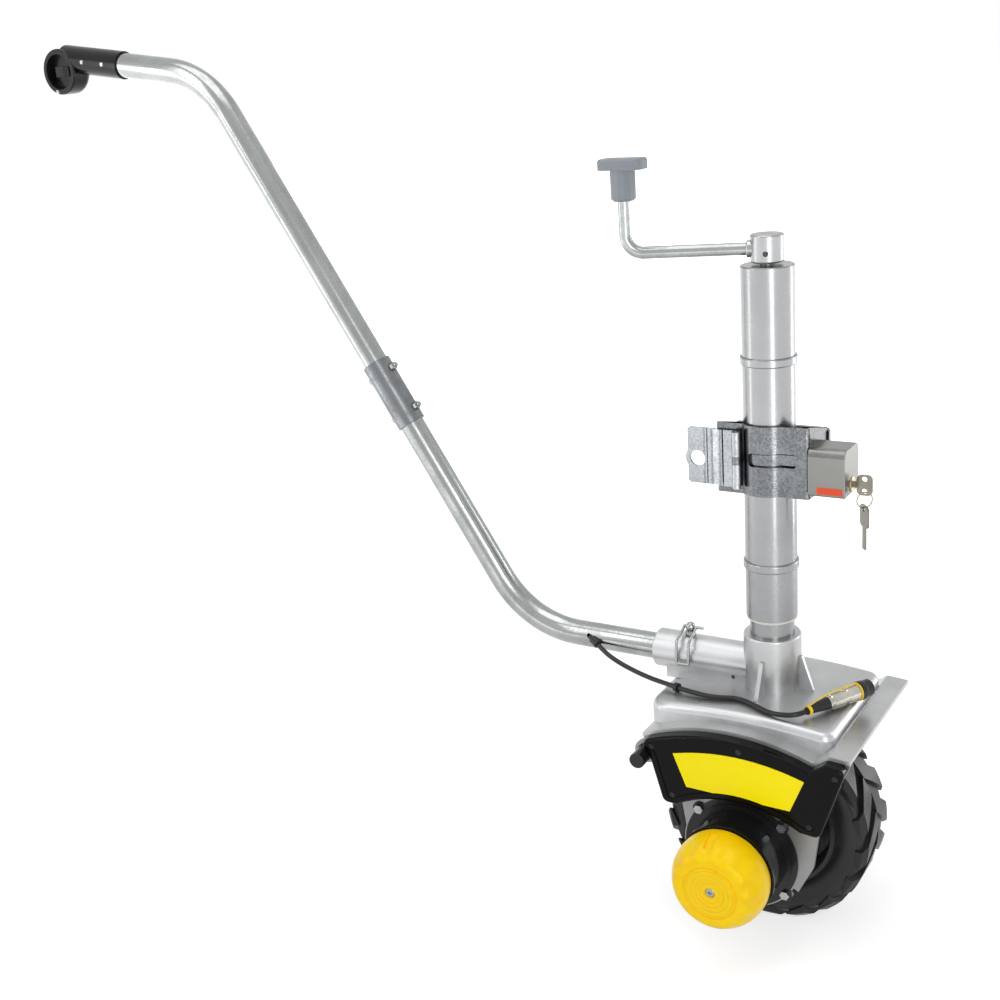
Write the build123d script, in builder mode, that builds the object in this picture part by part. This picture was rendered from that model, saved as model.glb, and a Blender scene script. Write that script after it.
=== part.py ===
from build123d import *
from math import acos, cos, degrees, pi, radians, sin, sqrt, tan
import os

os.makedirs("parts", exist_ok=True)

# Motorised jockey wheel, in millimetres.
# Origin: the middle of the clamp's bolt pattern, on the plate's rear face.
# The vehicle is at +Y, the handle points to -X and the cap on the motor faces -Y.

# Clearances
face_gap = 0.3
run_fit = 0.075
seat_fit = 0.05
bolt_fit = 0.25

# Clamp and its hasp
plate_t = 6
plate_right = 58
plate_left = -58
plate_low = -40
plate_high = 28
plate_corner = 6
bolt_spacing = 82
bolt_hole_r = 5.5
shoe_t = 4
shoe_half_w = 28
shoe_half_h = 27
housing_t = 3
housing_left = -54.5
housing_right = 56
housing_front = 27
housing_bottom = -39
housing_top = 43
housing_corner = 5
bulge_r = 35
slot_left = -13
slot_right = 41
slot_bottom = -4
slot_top = 12
band_t = 1.6
band_h = 12
hinge_x = -27
hinge_out = 34.5
knuckle_r = 5
hinge_pin_r = 2.5
knuckle_bottom = -2
knuckle_top = 7
hasp_t = 3
hasp_bottom = -31
hasp_top = 36
hasp_step_x = -50
hasp_flat_x = -58
hasp_end_x = -89
hasp_near_y = 31.5
hasp_far_y = 28.5
hasp_hole_x = -77
hasp_hole_z = -1
hasp_hole_r = 9.2
hasp_boss_r = 15

# Lock and keys
lock_right = 98
lock_front = 32
lock_back = -17
lock_bottom = -32
lock_top = 22
lock_corner = 10
barrel_out = 6
barrel_z = -22
barrel_r = 9
barrel_len = 30
barrel_proud = 1
key_t = 2
key_blade_h = 7
key_blade_len = 26
key_head_w = 24
key_head_len = 18
key_gap = 5
key_hole_r = 3
key_hole_in = 5
key_corner = 6
ring_r = 9
ring_wire_r = 0.7
ring_turn = 39.8
ring_slack = 1.2
spare_slack = 2
spare_more = 8

# Mast, screw and crank
tube_r = 30
tube_wall = 2.5
tube_top = 217
tube_len = 412
bead_r = 32.2
bead_h = 10
upper_bead_z = 114
lower_bead_z = -129
cap_t = 2.5
cap_spigot = 11
bearing_t = 10
bearing_r = 19
neck_r = 7.5
collar_r = 17
collar_t = 6
screw_r = 11
screw_bottom = -90
nut_flange_t = 22
nut_spigot = 20
inner_r = 26
inner_wall = 3
inner_top = 148
inner_bottom = -284
bush_len = 25
bush_lip_r = 29
bush_lip_t = 3
hub_r = 18.5
hub_gap = 5
hub_h = 31
cross_pin_r = 3
cross_pin_z = 233
cross_pin_turn = 285
crank_turn = 198
crank_rod_r = 7
crank_z = 237
crank_reach = 155
crank_bend_r = 20
crank_top = 333
weld_r = 9.5
weld_len = 4
grip_bottom = 295
grip_stem_r = 14
grip_stem_h = 34
grip_head_len = 54
grip_head_w = 29
grip_head_h = 12

# Saddle casting
rim_z = -218
socket_r = 34
socket_depth = 68
saddle_half_w = 112
saddle_t = 5
saddle_left = (-122, -324)
saddle_mid = (0, -300)
saddle_dip = (88, -318.5)
saddle_lip = (106, -306)
saddle_right = (131, -308)
lip_round = 6
pan_left = -126
pan_right = 104
pan_half_w = 93
pan_corner_left = 28
pan_corner_right = 14
pan_wall = 6
pan_top_edge = 10
pan_mid_x = -10
pan_drop_left = 8
pan_drop_right = 7
gusset_t = 5
gusset_front_reach = 57
gusset_side_reach = 51
gusset_top = -26
arm_r = 23
arm_z = -44.5
arm_left = -110
pedestal_half_w = 20
pedestal_left = -131
lug_hole_r = 2.5
rail_t = 10
rail_left = -95
rail_right = 80
rail_bottom = -345
handle_collar_r = 23.75
handle_collar_left = -149

# Handle
handle_r = 16.5
handle_wall = 2
handle_start = -50
handle_low_corner = -337
handle_top_corner = (-782, 459)
handle_end = (-1009, 490)
handle_bend_r = 130
joint_share = 0.4193
sleeve_r = 19.5
sleeve_len = 94
sleeve_bolt_r = 3
sleeve_bolt_pitch = 60
bolt_head_af = 10
bolt_head_h = 4
pod_x = -1039
pod_z = 477
pod_r = 31
pod_front = 19
pod_back = 16
pod_edge = 12
bowl_r = 24
bowl_depth = 11
bowl_taper = 12
bowl_clear = 2
boot_r = 18.75
boot_right = -928
small_screw_r = 3
small_screw_h = 1.5
small_shank_r = 1.5
small_shank_len = 5
rocker_w = 26
rocker_h = 14
rocker_out = 4
rocker_deep = 4
rocker_foot = 1.5

# Locking pin
pin_x = -106
pin_r = 4
pin_bottom = -60
pin_collar_r = 6.5
pin_collar_z = -20.3
pin_collar_t = 4
pin_head_r = 6
pin_head_z = -11
bail_r = 1.75
bail_left = -114
bail_right = -98
bail_stub = -89
bail_out = 27.5
bail_knee_z = -22
bail_low_z = -50

# Wheel, cheeks and covers
axle_z = -456
wheel_r = 130
tyre_w = 85
lug_h = 6
lug_count = 18
lug_w = 25
lug_slant = 38
rim_r = 88
rim_barrel_t = 5
rim_w = 70
rim_disc_t = 8
rim_hub_r = 26
rim_hub_w = 76
rim_hole_r = 9
rim_hole_circle = 52
rim_holes = 6
axle_r = 10
cheek_in = 105
cheek_t = 5
cheek_lug_r = 72
front_right_edge = [(95, -408), (88, -456), (70, -492)]
rear_right_edge = [(74, -408), (66, -447)]
cheek_left_edge = [(-68, -447), (-74, -408), (-100, -380)]
cover_t = 16
cover_wall = 3
cover_foot_right = (100, -406)
cover_toe_right = (77, -404)
cover_arch_top = -383
cover_toe_left = (-75, -404)
cover_foot_left = (-92, -403)
cover_waist = (-108, -345)
cover_corner = 9
cover_edge = 3.5
cover_inset = 9
cover_inset_t = 1
cover_screw_r = 3.6
cover_pillar_t = 2.5
cover_screw_h = 2
cover_screw_bore = 1.6
cover_screws_at = [(5, -317), (118, -326), (88, -394), (-105, -333), (-80, -392)]
cheek_bolt_r = 4
cheek_bolt_af = 13
cheek_bolt_h = 5.3
cheek_bolts_at = [(-75, -335), (0, -335), (65, -335)]

# Motor, gears and drive knob
gearbox_r = 76
gearbox_wall = 4
gearbox_end = 50
gearbox_boss_r = 22
gearbox_boss_t = 5
gearbox_bolt_circle = 69.2
gearbox_bolt_turns = (42, 138, 218, 322)
gearbox_bolt_r = 3
gearbox_ear_r = 8
gearbox_bolt_grip = 8
motor_r = 56.5
motor_wall = 3
motor_front = 156
motor_rim_r = 58
motor_rim_t = 2.5
motor_flange_r = 70
motor_step_r = 63
motor_flange_t = 2
motor_nose_r = 10
motor_nose_len = 14
rotor_r = 40
rotor_back = 116
rotor_front = 146
shaft_r = 7
shaft_bore_r = 4.3
shaft_neck_r = 6
shaft_seat = 5
module = 1.25
pinion_teeth = 12
wheel_teeth = 48
pressure_angle = 25
tooth_tip = 0.8
tooth_root = 1.05
backlash = 0.3
stage_one = 98
stage_two = 84
stage_w = 10
lay_shaft_r = 5
lay_shaft_seat = 2.5
ball_r = 16
ball_w = 9
rear_boss_t = 10
clutch_rod_r = 4
clutch_rod_front = 172
clutch_rod_back = 90
clutch_travel = 6
knob_rim_r = 55
knob_mid_r = 56.5
knob_face_r = 47
knob_back = 158
knob_face = 205
knob_wall = 4
knob_edge = 7
knob_boss_r = 15
knob_grips = 12
knob_grip_w = 12
knob_grip_deep = 1.5
knob_dish_r = 17
knob_ring_r = 33
knob_ring_w = 2
knob_screw_r = 5.5
knob_screw_h = 4
knob_screw_shank_r = 3
knob_screw_len = 14

# Panel socket
panel_x = -119
panel_z = -349
panel_ear_r = 15
panel_r = 8
panel_flange_r = 10.5
panel_flange_t = 2
panel_len = 22
panel_cap_r = 9.6
panel_cap_len = 26

# Cable and its connector
cable_r = 3
cable_exit_x = -236
cable_hole_r = 4
cable_exit_out = 15.5
cable_exit_up = 2
cable_route = [
    (-212, -28, -53),
    (-192, -33, -60),
    (-168, -37, -66),
    (-146, -41.5, -69),
    (-128, -46.5, -69.3),
    (-110, -54, -67.3),
    (-91, -60.4, -66.6),
    (-73, -64, -66.4),
    (-56, -66.6, -66),
    (-40, -66, -65.2),
    (-24, -60.5, -65),
    (-7, -64.5, -64.8),
    (8, -72, -64.9),
    (22, -78.5, -65.5),
    (35, -81.3, -64.9),
    (48.9, -81.3, -63.4),
    (55.9, -78.7, -62.5),
]
grommet_r = 5.5
grommet_len = 13
grommet_in = 4
cable_ring_r = 5.6
cable_ring_t = 5
cable_ring_at = 6
plug_start = (65, -67, -62)
plug_turn = 62.5
plug_straight = 7.5
plug_boot_len = 32
plug_boot_r = 7.5
plug_shell_len = 49
plug_shell_r = 10
plug_cap_len = 19
plug_cap_r = 11.5
plug_nose_r = 8.5
plug_nose_len = 10
tie_r = 4.6
tie_len = 4
lanyard_r = 0.9

# Places worked out from the sizes above
mast_y = -(plate_t + shoe_t + tube_r)
tube_bottom = tube_top - tube_len
tube_bore_r = tube_r - tube_wall
pan_top = rim_z - socket_depth
arm_axis_z = rim_z + arm_z
hub_bottom = tube_top + hub_gap
hub_top = hub_bottom + hub_h
bearing_top = tube_top - cap_spigot
collar_top = bearing_top - bearing_t
cheek_out = cheek_in + cheek_t
cover_out = cheek_out + cover_t
centre_distance = module * (pinion_teeth + wheel_teeth) / 2
handle_rise = handle_top_corner[1] - arm_axis_z
handle_run = handle_low_corner - handle_top_corner[0]
handle_riser = sqrt(handle_rise ** 2 + handle_run ** 2)
riser_way = (-handle_run / handle_riser, 0, handle_rise / handle_riser)
riser_normal = (riser_way[2], 0, -riser_way[0])
cable_bends = [(x, mast_y + y, rim_z + z) for x, y, z in cable_route]
joint_at = (
    handle_low_corner - joint_share * handle_run,
    mast_y,
    arm_axis_z + joint_share * handle_rise,
)


# Planes: front(y) faces the viewer at -Y, side(x) faces +X, level(z) faces up
def front(y):
    return Plane.XZ.offset(-y)


def side(x):
    return Plane.YZ.offset(x)


def level(z):
    return Plane.XY.offset(z)


def chassis_front(out):
    return front(mast_y - out)


# A bent wire: straight runs with a ball at each corner
def bent_wire(points, radius):
    with BuildPart() as wire:
        for near, far in zip(points, points[1:]):
            run = Vector(*far) - Vector(*near)
            with BuildSketch(Plane(origin=near, z_dir=run)):
                Circle(radius)
            extrude(amount=run.length)
        with Locations(*points[1:-1]):
            Sphere(radius)
    return wire.part


# The back face of a gear that ends at the distance given in front of the mast axis
def gear_plane(gear_front, z):
    return Plane(origin=(0, mast_y - gear_front + stage_w, z), x_dir=(1, 0, 0), z_dir=(0, -1, 0))


# A spur gear's outline, with a tooth at the angle given
def gear_outline(teeth, first_tooth):
    pitch_r = module * teeth / 2
    base_r = pitch_r * cos(radians(pressure_angle))
    root_r = pitch_r - tooth_root * module
    tip_r = pitch_r + tooth_tip * module
    half_tooth = pi / (2 * teeth) - backlash / (4 * pitch_r)

    def flank_angle(radius):
        if radius <= base_r:
            roll = 0
        else:
            angle = acos(base_r / radius)
            roll = tan(angle) - angle
        start = tan(radians(pressure_angle)) - radians(pressure_angle)
        return half_tooth + start - roll

    flank_start = max(root_r, base_r)
    steps = (0, 0.35, 0.7, 1)
    radii = [flank_start + (tip_r - flank_start) * step for step in steps]
    if root_r < base_r:
        radii = [root_r] + radii
    points = []
    for tooth in range(teeth):
        middle = radians(first_tooth) + 2 * pi * tooth / teeth
        for radius in radii:
            angle = middle - flank_angle(radius)
            points.append((radius * cos(angle), radius * sin(angle)))
        for radius in reversed(radii):
            angle = middle + flank_angle(radius)
            points.append((radius * cos(angle), radius * sin(angle)))
    Polyline(*points, close=True)


# CLAMP

with BuildPart() as clamp_back_plate:
    with BuildSketch(front(0)):
        with Locations(((plate_left + plate_right) / 2, (plate_low + plate_high) / 2)):
            Rectangle(plate_right - plate_left, plate_high - plate_low)
    extrude(amount=plate_t)
    fillet(clamp_back_plate.edges().filter_by(Axis.Y), radius=plate_corner)
    with BuildSketch(front(0)):
        with GridLocations(bolt_spacing, 1, 2, 1):
            Circle(bolt_hole_r)
    extrude(amount=plate_t, mode=Mode.SUBTRACT)
clamp_back_plate.part.label = "clamp_back_plate"
export_step(clamp_back_plate.part, "parts/clamp_back_plate.step")

with BuildPart() as clamp_shoe:
    with BuildSketch(level(-shoe_half_h)):
        with Locations((0, -plate_t - (shoe_t + tube_r / 2) / 2)):
            Rectangle(2 * shoe_half_w, shoe_t + tube_r / 2)
        with Locations((0, mast_y)):
            Circle(tube_r + run_fit, mode=Mode.SUBTRACT)
    extrude(amount=2 * shoe_half_h)
clamp_shoe.part.label = "clamp_shoe"
export_step(clamp_shoe.part, "parts/clamp_shoe.step")

# The housing is a folded channel, bulged round the mast, with a slot over the band
housing_mid_x = (housing_left + housing_right) / 2
housing_w = housing_right - housing_left
housing_depth = housing_front + tube_r + shoe_t
with BuildPart() as clamp_housing:
    with BuildSketch(level(housing_bottom)) as channel:
        with Locations((housing_mid_x, -plate_t - housing_depth / 2)):
            Rectangle(housing_w, housing_depth)
        fillet(channel.vertices().group_by(Axis.Y)[0], radius=housing_corner)
        with Locations((0, mast_y)):
            Circle(bulge_r)
        with Locations((housing_mid_x, housing_t - housing_depth / 2)):
            Rectangle(housing_w - 2 * housing_t, housing_depth + 2 * plate_t, mode=Mode.SUBTRACT)
        with Locations((0, mast_y)):
            Circle(bulge_r - housing_t, mode=Mode.SUBTRACT)
    extrude(amount=housing_top - housing_bottom)
    # The side walls slope down from the front to the plate's top
    with BuildSketch(side(housing_left)):
        with BuildLine():
            Polyline(
                (mast_y - housing_front + 2 * housing_t, housing_top),
                (-plate_t, plate_high),
                (0, plate_high),
                (0, housing_top + 1),
                (mast_y - housing_front + 2 * housing_t, housing_top + 1),
                close=True,
            )
        make_face()
    extrude(amount=housing_w, mode=Mode.SUBTRACT)
    with BuildSketch(front(mast_y)):
        with Locations(((slot_left + slot_right) / 2, (slot_bottom + slot_top) / 2)):
            RectangleRounded(slot_right - slot_left, slot_top - slot_bottom, 4)
    extrude(amount=bulge_r + 1, mode=Mode.SUBTRACT)
    with BuildSketch(level(knuckle_bottom)):
        with Locations((hinge_x, mast_y - hinge_out)):
            Circle(knuckle_r)
        with Locations((hinge_x - knuckle_r / 2, mast_y - (hinge_out + housing_front - 1) / 2)):
            Rectangle(knuckle_r, hinge_out - housing_front + 1)
        with Locations((hinge_x, mast_y - hinge_out)):
            Circle(hinge_pin_r + seat_fit, mode=Mode.SUBTRACT)
    extrude(amount=knuckle_top - knuckle_bottom)
clamp_housing.part.label = "clamp_housing"
export_step(clamp_housing.part, "parts/clamp_housing.step")

# The band hooks on the plate at the left, wraps the mast and ends at the right wall
band_r = tube_r + 0.2
band_mid_z = (slot_bottom + slot_top) / 2
band_flat_out = bulge_r - housing_t - 8.2
with BuildPart() as clamp_band:
    with BuildSketch(level(band_mid_z - band_h / 2)):
        with Locations((0, mast_y)):
            Circle(band_r + band_t)
            Circle(band_r, mode=Mode.SUBTRACT)
        with Locations((0, mast_y + bulge_r / 2)):
            Rectangle(2 * bulge_r, bulge_r, mode=Mode.SUBTRACT)
        with Locations((bulge_r / 2 + 21, mast_y - bulge_r / 2 + 12)):
            Rectangle(bulge_r, bulge_r, mode=Mode.SUBTRACT)
        with Locations(((20 + housing_right - housing_t) / 2, mast_y - band_flat_out + band_t / 2)):
            Rectangle(housing_right - housing_t - 20, band_t)
        with Locations((-band_r - band_t / 2, (mast_y - plate_t) / 2)):
            Rectangle(band_t, -mast_y - plate_t)
        with Locations((0, mast_y)):
            Circle(band_r, mode=Mode.SUBTRACT)
    extrude(amount=band_h)
clamp_band.part.label = "clamp_band"
export_step(clamp_band.part, "parts/clamp_band.step")

with BuildPart() as hasp_hinge_pin:
    with BuildSketch(level(hasp_bottom - 1)):
        with Locations((hinge_x, mast_y - hinge_out)):
            Circle(hinge_pin_r)
    extrude(amount=hasp_top - hasp_bottom + 2)
    chamfer(hasp_hinge_pin.edges().filter_by(GeomType.CIRCLE), length=0.6)
hasp_hinge_pin.part.label = "hasp_hinge_pin"
export_step(hasp_hinge_pin.part, "parts/hasp_hinge_pin.step")

with BuildPart() as hasp_plate:
    with BuildSketch(level(hasp_bottom)):
        with BuildLine():
            Polyline(
                (hinge_x - 3, mast_y - hasp_near_y),
                (hinge_x - 3, mast_y - hasp_near_y + hasp_t),
                (hasp_step_x, mast_y - hasp_near_y + hasp_t),
                (hasp_flat_x, mast_y - hasp_far_y + hasp_t),
                (hasp_end_x, mast_y - hasp_far_y + hasp_t),
                (hasp_end_x, mast_y - hasp_far_y),
                (hasp_flat_x, mast_y - hasp_far_y),
                (hasp_step_x, mast_y - hasp_near_y),
                close=True,
            )
        make_face()
        with Locations((hinge_x, mast_y - hinge_out)):
            Circle(knuckle_r)
    extrude(amount=hasp_top - hasp_bottom)
    with BuildSketch(chassis_front(hasp_far_y - hasp_t)):
        with Locations((hasp_hole_x, hasp_hole_z)):
            Circle(hasp_boss_r)
    extrude(amount=hasp_t)
    hasp_end = hasp_plate.edges().filter_by(Axis.Y).filter_by_position(
        Axis.X, hasp_end_x - 0.1, hasp_end_x + 0.1
    )
    fillet([hasp_end.sort_by(Axis.Z)[0], hasp_end.sort_by(Axis.Z)[-1]], radius=4)
    with BuildSketch(chassis_front(hasp_far_y - hasp_t)):
        with Locations((hasp_hole_x, hasp_hole_z)):
            Circle(hasp_hole_r)
    extrude(amount=hasp_t, mode=Mode.SUBTRACT)
    with BuildSketch(level(knuckle_bottom - face_gap)):
        with Locations((hinge_x, mast_y - hinge_out + 1)):
            Rectangle(2 * knuckle_r + 2, 2 * knuckle_r + 4)
    extrude(amount=knuckle_top - knuckle_bottom + 2 * face_gap, mode=Mode.SUBTRACT)
    with BuildSketch(level(hasp_bottom)):
        with Locations((hinge_x, mast_y - hinge_out)):
            Circle(hinge_pin_r + run_fit)
    extrude(amount=hasp_top - hasp_bottom, mode=Mode.SUBTRACT)
hasp_plate.part.label = "hasp_plate"
export_step(hasp_plate.part, "parts/hasp_plate.step")

# LOCK AND KEYS

barrel_y = mast_y - barrel_out
barrel_back = lock_right + barrel_proud - barrel_len
keyway_back = barrel_back + 2
with BuildPart() as lock_body:
    with BuildSketch(side(housing_right)) as lock_outline:
        with Locations((mast_y - (lock_front + lock_back) / 2, (lock_bottom + lock_top) / 2)):
            Rectangle(lock_front - lock_back, lock_top - lock_bottom)
        fillet(lock_outline.vertices().group_by(Axis.Y)[-1], radius=lock_corner)
        fillet(lock_outline.vertices().group_by(Axis.Y)[0], radius=2)
    extrude(amount=lock_right - housing_right)
    fillet(lock_body.faces().sort_by(Axis.X)[-1].edges(), radius=1)
    with BuildSketch(side(barrel_back)):
        with Locations((barrel_y, barrel_z)):
            Circle(barrel_r + run_fit)
    extrude(amount=barrel_len, mode=Mode.SUBTRACT)
lock_body.part.label = "lock_body"
export_step(lock_body.part, "parts/lock_body.step")

with BuildPart() as lock_cylinder:
    with BuildSketch(side(barrel_back)):
        with Locations((barrel_y, barrel_z)):
            Circle(barrel_r)
    extrude(amount=barrel_len)
    fillet(lock_cylinder.edges().filter_by(GeomType.CIRCLE).sort_by(Axis.X)[-1], radius=0.6)
    with BuildSketch(side(keyway_back)):
        with Locations((barrel_y, barrel_z)):
            Rectangle(key_t + 0.4, key_blade_h + 0.4)
    extrude(amount=barrel_len, mode=Mode.SUBTRACT)
lock_cylinder.part.label = "lock_cylinder"
export_step(lock_cylinder.part, "parts/lock_cylinder.step")

key_head_left = lock_right + key_gap
key_head_mid = key_head_left + key_head_len / 2
key_blade_back = lock_right + barrel_proud - key_blade_len
key_hole_z = barrel_z - key_head_w / 2 + key_hole_in
ring_hang = (key_head_mid, barrel_y, key_hole_z - ring_slack)
with BuildPart() as key:
    with BuildSketch(front(barrel_y + key_t / 2)) as key_outline:
        with Locations((key_head_mid, barrel_z)):
            RectangleRounded(key_head_len, key_head_w, key_corner)
        with Locations(((key_blade_back + key_head_mid) / 2, barrel_z)):
            Rectangle(key_head_mid - key_blade_back, key_blade_h)
        with Locations((key_head_mid, key_hole_z), (key_head_mid, 2 * barrel_z - key_hole_z)):
            Circle(key_hole_r, mode=Mode.SUBTRACT)
    extrude(amount=key_t)
key.part.label = "key"
export_step(key.part, "parts/key.step")

ring_way = (cos(radians(ring_turn)), sin(radians(ring_turn)), 0)
ring_axis = (sin(radians(ring_turn)), -cos(radians(ring_turn)), 0)
ring_middle = (ring_hang[0], ring_hang[1], ring_hang[2] - ring_r)
ring_low = (ring_hang[0], ring_hang[1], ring_hang[2] - 2 * ring_r)
with BuildPart() as key_ring:
    with BuildSketch(Plane(origin=ring_hang, x_dir=(0, 0, 1), z_dir=ring_way)):
        Circle(ring_wire_r)
    revolve(axis=Axis(ring_middle, ring_axis), revolution_arc=360)
key_ring.part.label = "key_ring"
export_step(key_ring.part, "parts/key_ring.step")

spare_head_len = key_head_len + spare_more
spare_plane = Plane(
    origin=(ring_low[0], ring_low[1], ring_low[2] - spare_slack),
    x_dir=(-ring_axis[0], -ring_axis[1], 0),
    z_dir=ring_way,
)
with BuildPart() as spare_key:
    with BuildSketch(spare_plane.offset(-key_t / 2)):
        with Locations((0, key_hole_in - spare_head_len / 2)):
            RectangleRounded(key_head_w - 2, spare_head_len, key_corner)
        with Locations((0, key_hole_in - spare_head_len - key_blade_len / 2 + 1)):
            Rectangle(key_blade_h, key_blade_len + 2)
        Circle(key_hole_r, mode=Mode.SUBTRACT)
    extrude(amount=key_t)
spare_key.part.label = "spare_key"
export_step(spare_key.part, "parts/spare_key.step")

# MAST

with BuildPart() as outer_tube:
    with BuildSketch(level(tube_bottom)):
        with Locations((0, mast_y)):
            Circle(tube_r)
    extrude(amount=tube_len)
    for bead_z in (upper_bead_z, lower_bead_z):
        with BuildSketch(level(bead_z - bead_h / 2)):
            with Locations((0, mast_y)):
                Circle(bead_r)
        extrude(amount=bead_h)
    fillet(
        [e for e in outer_tube.edges().filter_by(GeomType.CIRCLE) if abs(e.radius - bead_r) < 0.01],
        radius=1.8,
    )
    with BuildSketch(level(tube_bottom)):
        with Locations((0, mast_y)):
            Circle(tube_bore_r)
    extrude(amount=tube_len, mode=Mode.SUBTRACT)
outer_tube.part.label = "outer_tube"
export_step(outer_tube.part, "parts/outer_tube.step")

with BuildPart() as top_cap:
    with BuildSketch(level(bearing_top)):
        with Locations((0, mast_y)):
            Circle(tube_bore_r - seat_fit)
    extrude(amount=cap_spigot)
    with BuildSketch(level(tube_top)):
        with Locations((0, mast_y)):
            Circle(tube_r)
    extrude(amount=cap_t)
    fillet(top_cap.edges().filter_by(GeomType.CIRCLE).sort_by(Axis.Z)[-1], radius=1.5)
    with BuildSketch(level(bearing_top)):
        with Locations((0, mast_y)):
            Circle(neck_r + face_gap)
    extrude(amount=cap_spigot + cap_t, mode=Mode.SUBTRACT)
top_cap.part.label = "top_cap"
export_step(top_cap.part, "parts/top_cap.step")

with BuildPart() as thrust_bearing:
    with BuildSketch(level(collar_top)):
        with Locations((0, mast_y)):
            Circle(bearing_r)
            Circle(neck_r + face_gap, mode=Mode.SUBTRACT)
    extrude(amount=bearing_t)
    chamfer(thrust_bearing.edges().filter_by(GeomType.CIRCLE).group_by(SortBy.RADIUS)[-1], length=0.8)
thrust_bearing.part.label = "thrust_bearing"
export_step(thrust_bearing.part, "parts/thrust_bearing.step")

with BuildPart() as lower_bush:
    with BuildSketch(level(tube_bottom - bush_lip_t)):
        with Locations((0, mast_y)):
            Circle(bush_lip_r)
    extrude(amount=bush_lip_t)
    with BuildSketch(level(tube_bottom)):
        with Locations((0, mast_y)):
            Circle(tube_bore_r - seat_fit)
    extrude(amount=bush_len)
    with BuildSketch(level(tube_bottom - bush_lip_t)):
        with Locations((0, mast_y)):
            Circle(inner_r + run_fit)
    extrude(amount=bush_len + bush_lip_t, mode=Mode.SUBTRACT)
lower_bush.part.label = "lower_bush"
export_step(lower_bush.part, "parts/lower_bush.step")

# The screw turns without rising: its collar bears up against the thrust bearing
cross_way = (cos(radians(cross_pin_turn)), sin(radians(cross_pin_turn)), 0)
cross_start = (-hub_r * cross_way[0], mast_y - hub_r * cross_way[1], cross_pin_z)
cross_plane = Plane(origin=cross_start, z_dir=cross_way)
with BuildPart() as lead_screw:
    with BuildSketch(level(screw_bottom)):
        with Locations((0, mast_y)):
            Circle(screw_r)
    extrude(amount=collar_top - collar_t - screw_bottom)
    chamfer(lead_screw.edges().filter_by(GeomType.CIRCLE).sort_by(Axis.Z)[0], length=2)
    with BuildSketch(level(collar_top - collar_t)):
        with Locations((0, mast_y)):
            Circle(collar_r)
    extrude(amount=collar_t)
    with BuildSketch(level(collar_top)):
        with Locations((0, mast_y)):
            Circle(neck_r)
    extrude(amount=hub_top - collar_top)
    with BuildSketch(cross_plane):
        Circle(cross_pin_r + seat_fit)
    extrude(amount=2 * hub_r, mode=Mode.SUBTRACT)
lead_screw.part.label = "lead_screw"
export_step(lead_screw.part, "parts/lead_screw.step")

with BuildPart() as crank_hub:
    with BuildSketch(level(hub_bottom)):
        with Locations((0, mast_y)):
            Circle(hub_r)
    extrude(amount=hub_h)
    fillet(crank_hub.edges().filter_by(GeomType.CIRCLE), radius=2.5)
    with BuildSketch(level(hub_bottom)):
        with Locations((0, mast_y)):
            Circle(neck_r + seat_fit)
    extrude(amount=hub_h, mode=Mode.SUBTRACT)
    with BuildSketch(cross_plane.offset(-1)):
        Circle(cross_pin_r + seat_fit)
    extrude(amount=2 * hub_r + 2, mode=Mode.SUBTRACT)
crank_hub.part.label = "crank_hub"
export_step(crank_hub.part, "parts/crank_hub.step")

with BuildPart() as crank_cross_pin:
    with BuildSketch(cross_plane.offset(-0.5)):
        Circle(cross_pin_r)
    extrude(amount=2 * hub_r + 1)
    chamfer(crank_cross_pin.edges().filter_by(GeomType.CIRCLE), length=0.5)
crank_cross_pin.part.label = "crank_cross_pin"
export_step(crank_cross_pin.part, "parts/crank_cross_pin.step")

crank_plane = Plane(
    origin=(0, mast_y, 0),
    x_dir=(cos(radians(crank_turn)), sin(radians(crank_turn)), 0),
    z_dir=(sin(radians(crank_turn)), -cos(radians(crank_turn)), 0),
)
crank_weld_plane = Plane(
    origin=(0, mast_y, crank_z), z_dir=(cos(radians(crank_turn)), sin(radians(crank_turn)), 0)
)
with BuildPart() as crank_arm:
    with BuildLine(crank_plane):
        crank_path = FilletPolyline(
            (hub_r / 2, crank_z), (crank_reach, crank_z), (crank_reach, crank_top), radius=crank_bend_r
        )
    with BuildSketch(Plane(origin=crank_path @ 0, z_dir=crank_path % 0)):
        Circle(crank_rod_r)
    sweep(path=crank_path)
    chamfer(crank_arm.faces().sort_by(Axis.Z)[-1].edges(), length=1)
    with BuildSketch(crank_weld_plane):
        Circle(weld_r)
    extrude(amount=hub_r + weld_len)
    fillet(
        [e for e in crank_arm.edges().filter_by(GeomType.CIRCLE) if abs(e.radius - weld_r) < 0.01],
        radius=2,
    )
    with BuildSketch(level(hub_bottom)):
        with Locations((0, mast_y)):
            Circle(hub_r)
    extrude(amount=hub_h, mode=Mode.SUBTRACT)
crank_arm.part.label = "crank_arm"
export_step(crank_arm.part, "parts/crank_arm.step")

grip_at = (
    crank_reach * cos(radians(crank_turn)),
    mast_y + crank_reach * sin(radians(crank_turn)),
)
with BuildPart() as crank_knob:
    with BuildSketch(level(grip_bottom)):
        with Locations(grip_at):
            RegularPolygon(grip_stem_r, 12)
    extrude(amount=grip_stem_h)
    chamfer(crank_knob.faces().sort_by(Axis.Z)[0].edges(), length=2.5)
    with BuildSketch(level(grip_bottom + grip_stem_h)):
        with Locations(grip_at):
            RectangleRounded(grip_head_len, grip_head_w, 9)
    extrude(amount=grip_head_h)
    fillet(crank_knob.faces().sort_by(Axis.Z)[-1].edges(), radius=3)
    with BuildSketch(level(grip_bottom)):
        with Locations(grip_at):
            Circle(crank_rod_r + run_fit)
    extrude(amount=crank_top - grip_bottom + 1, mode=Mode.SUBTRACT)
crank_knob.part.label = "crank_knob"
export_step(crank_knob.part, "parts/crank_knob.step")

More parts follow.
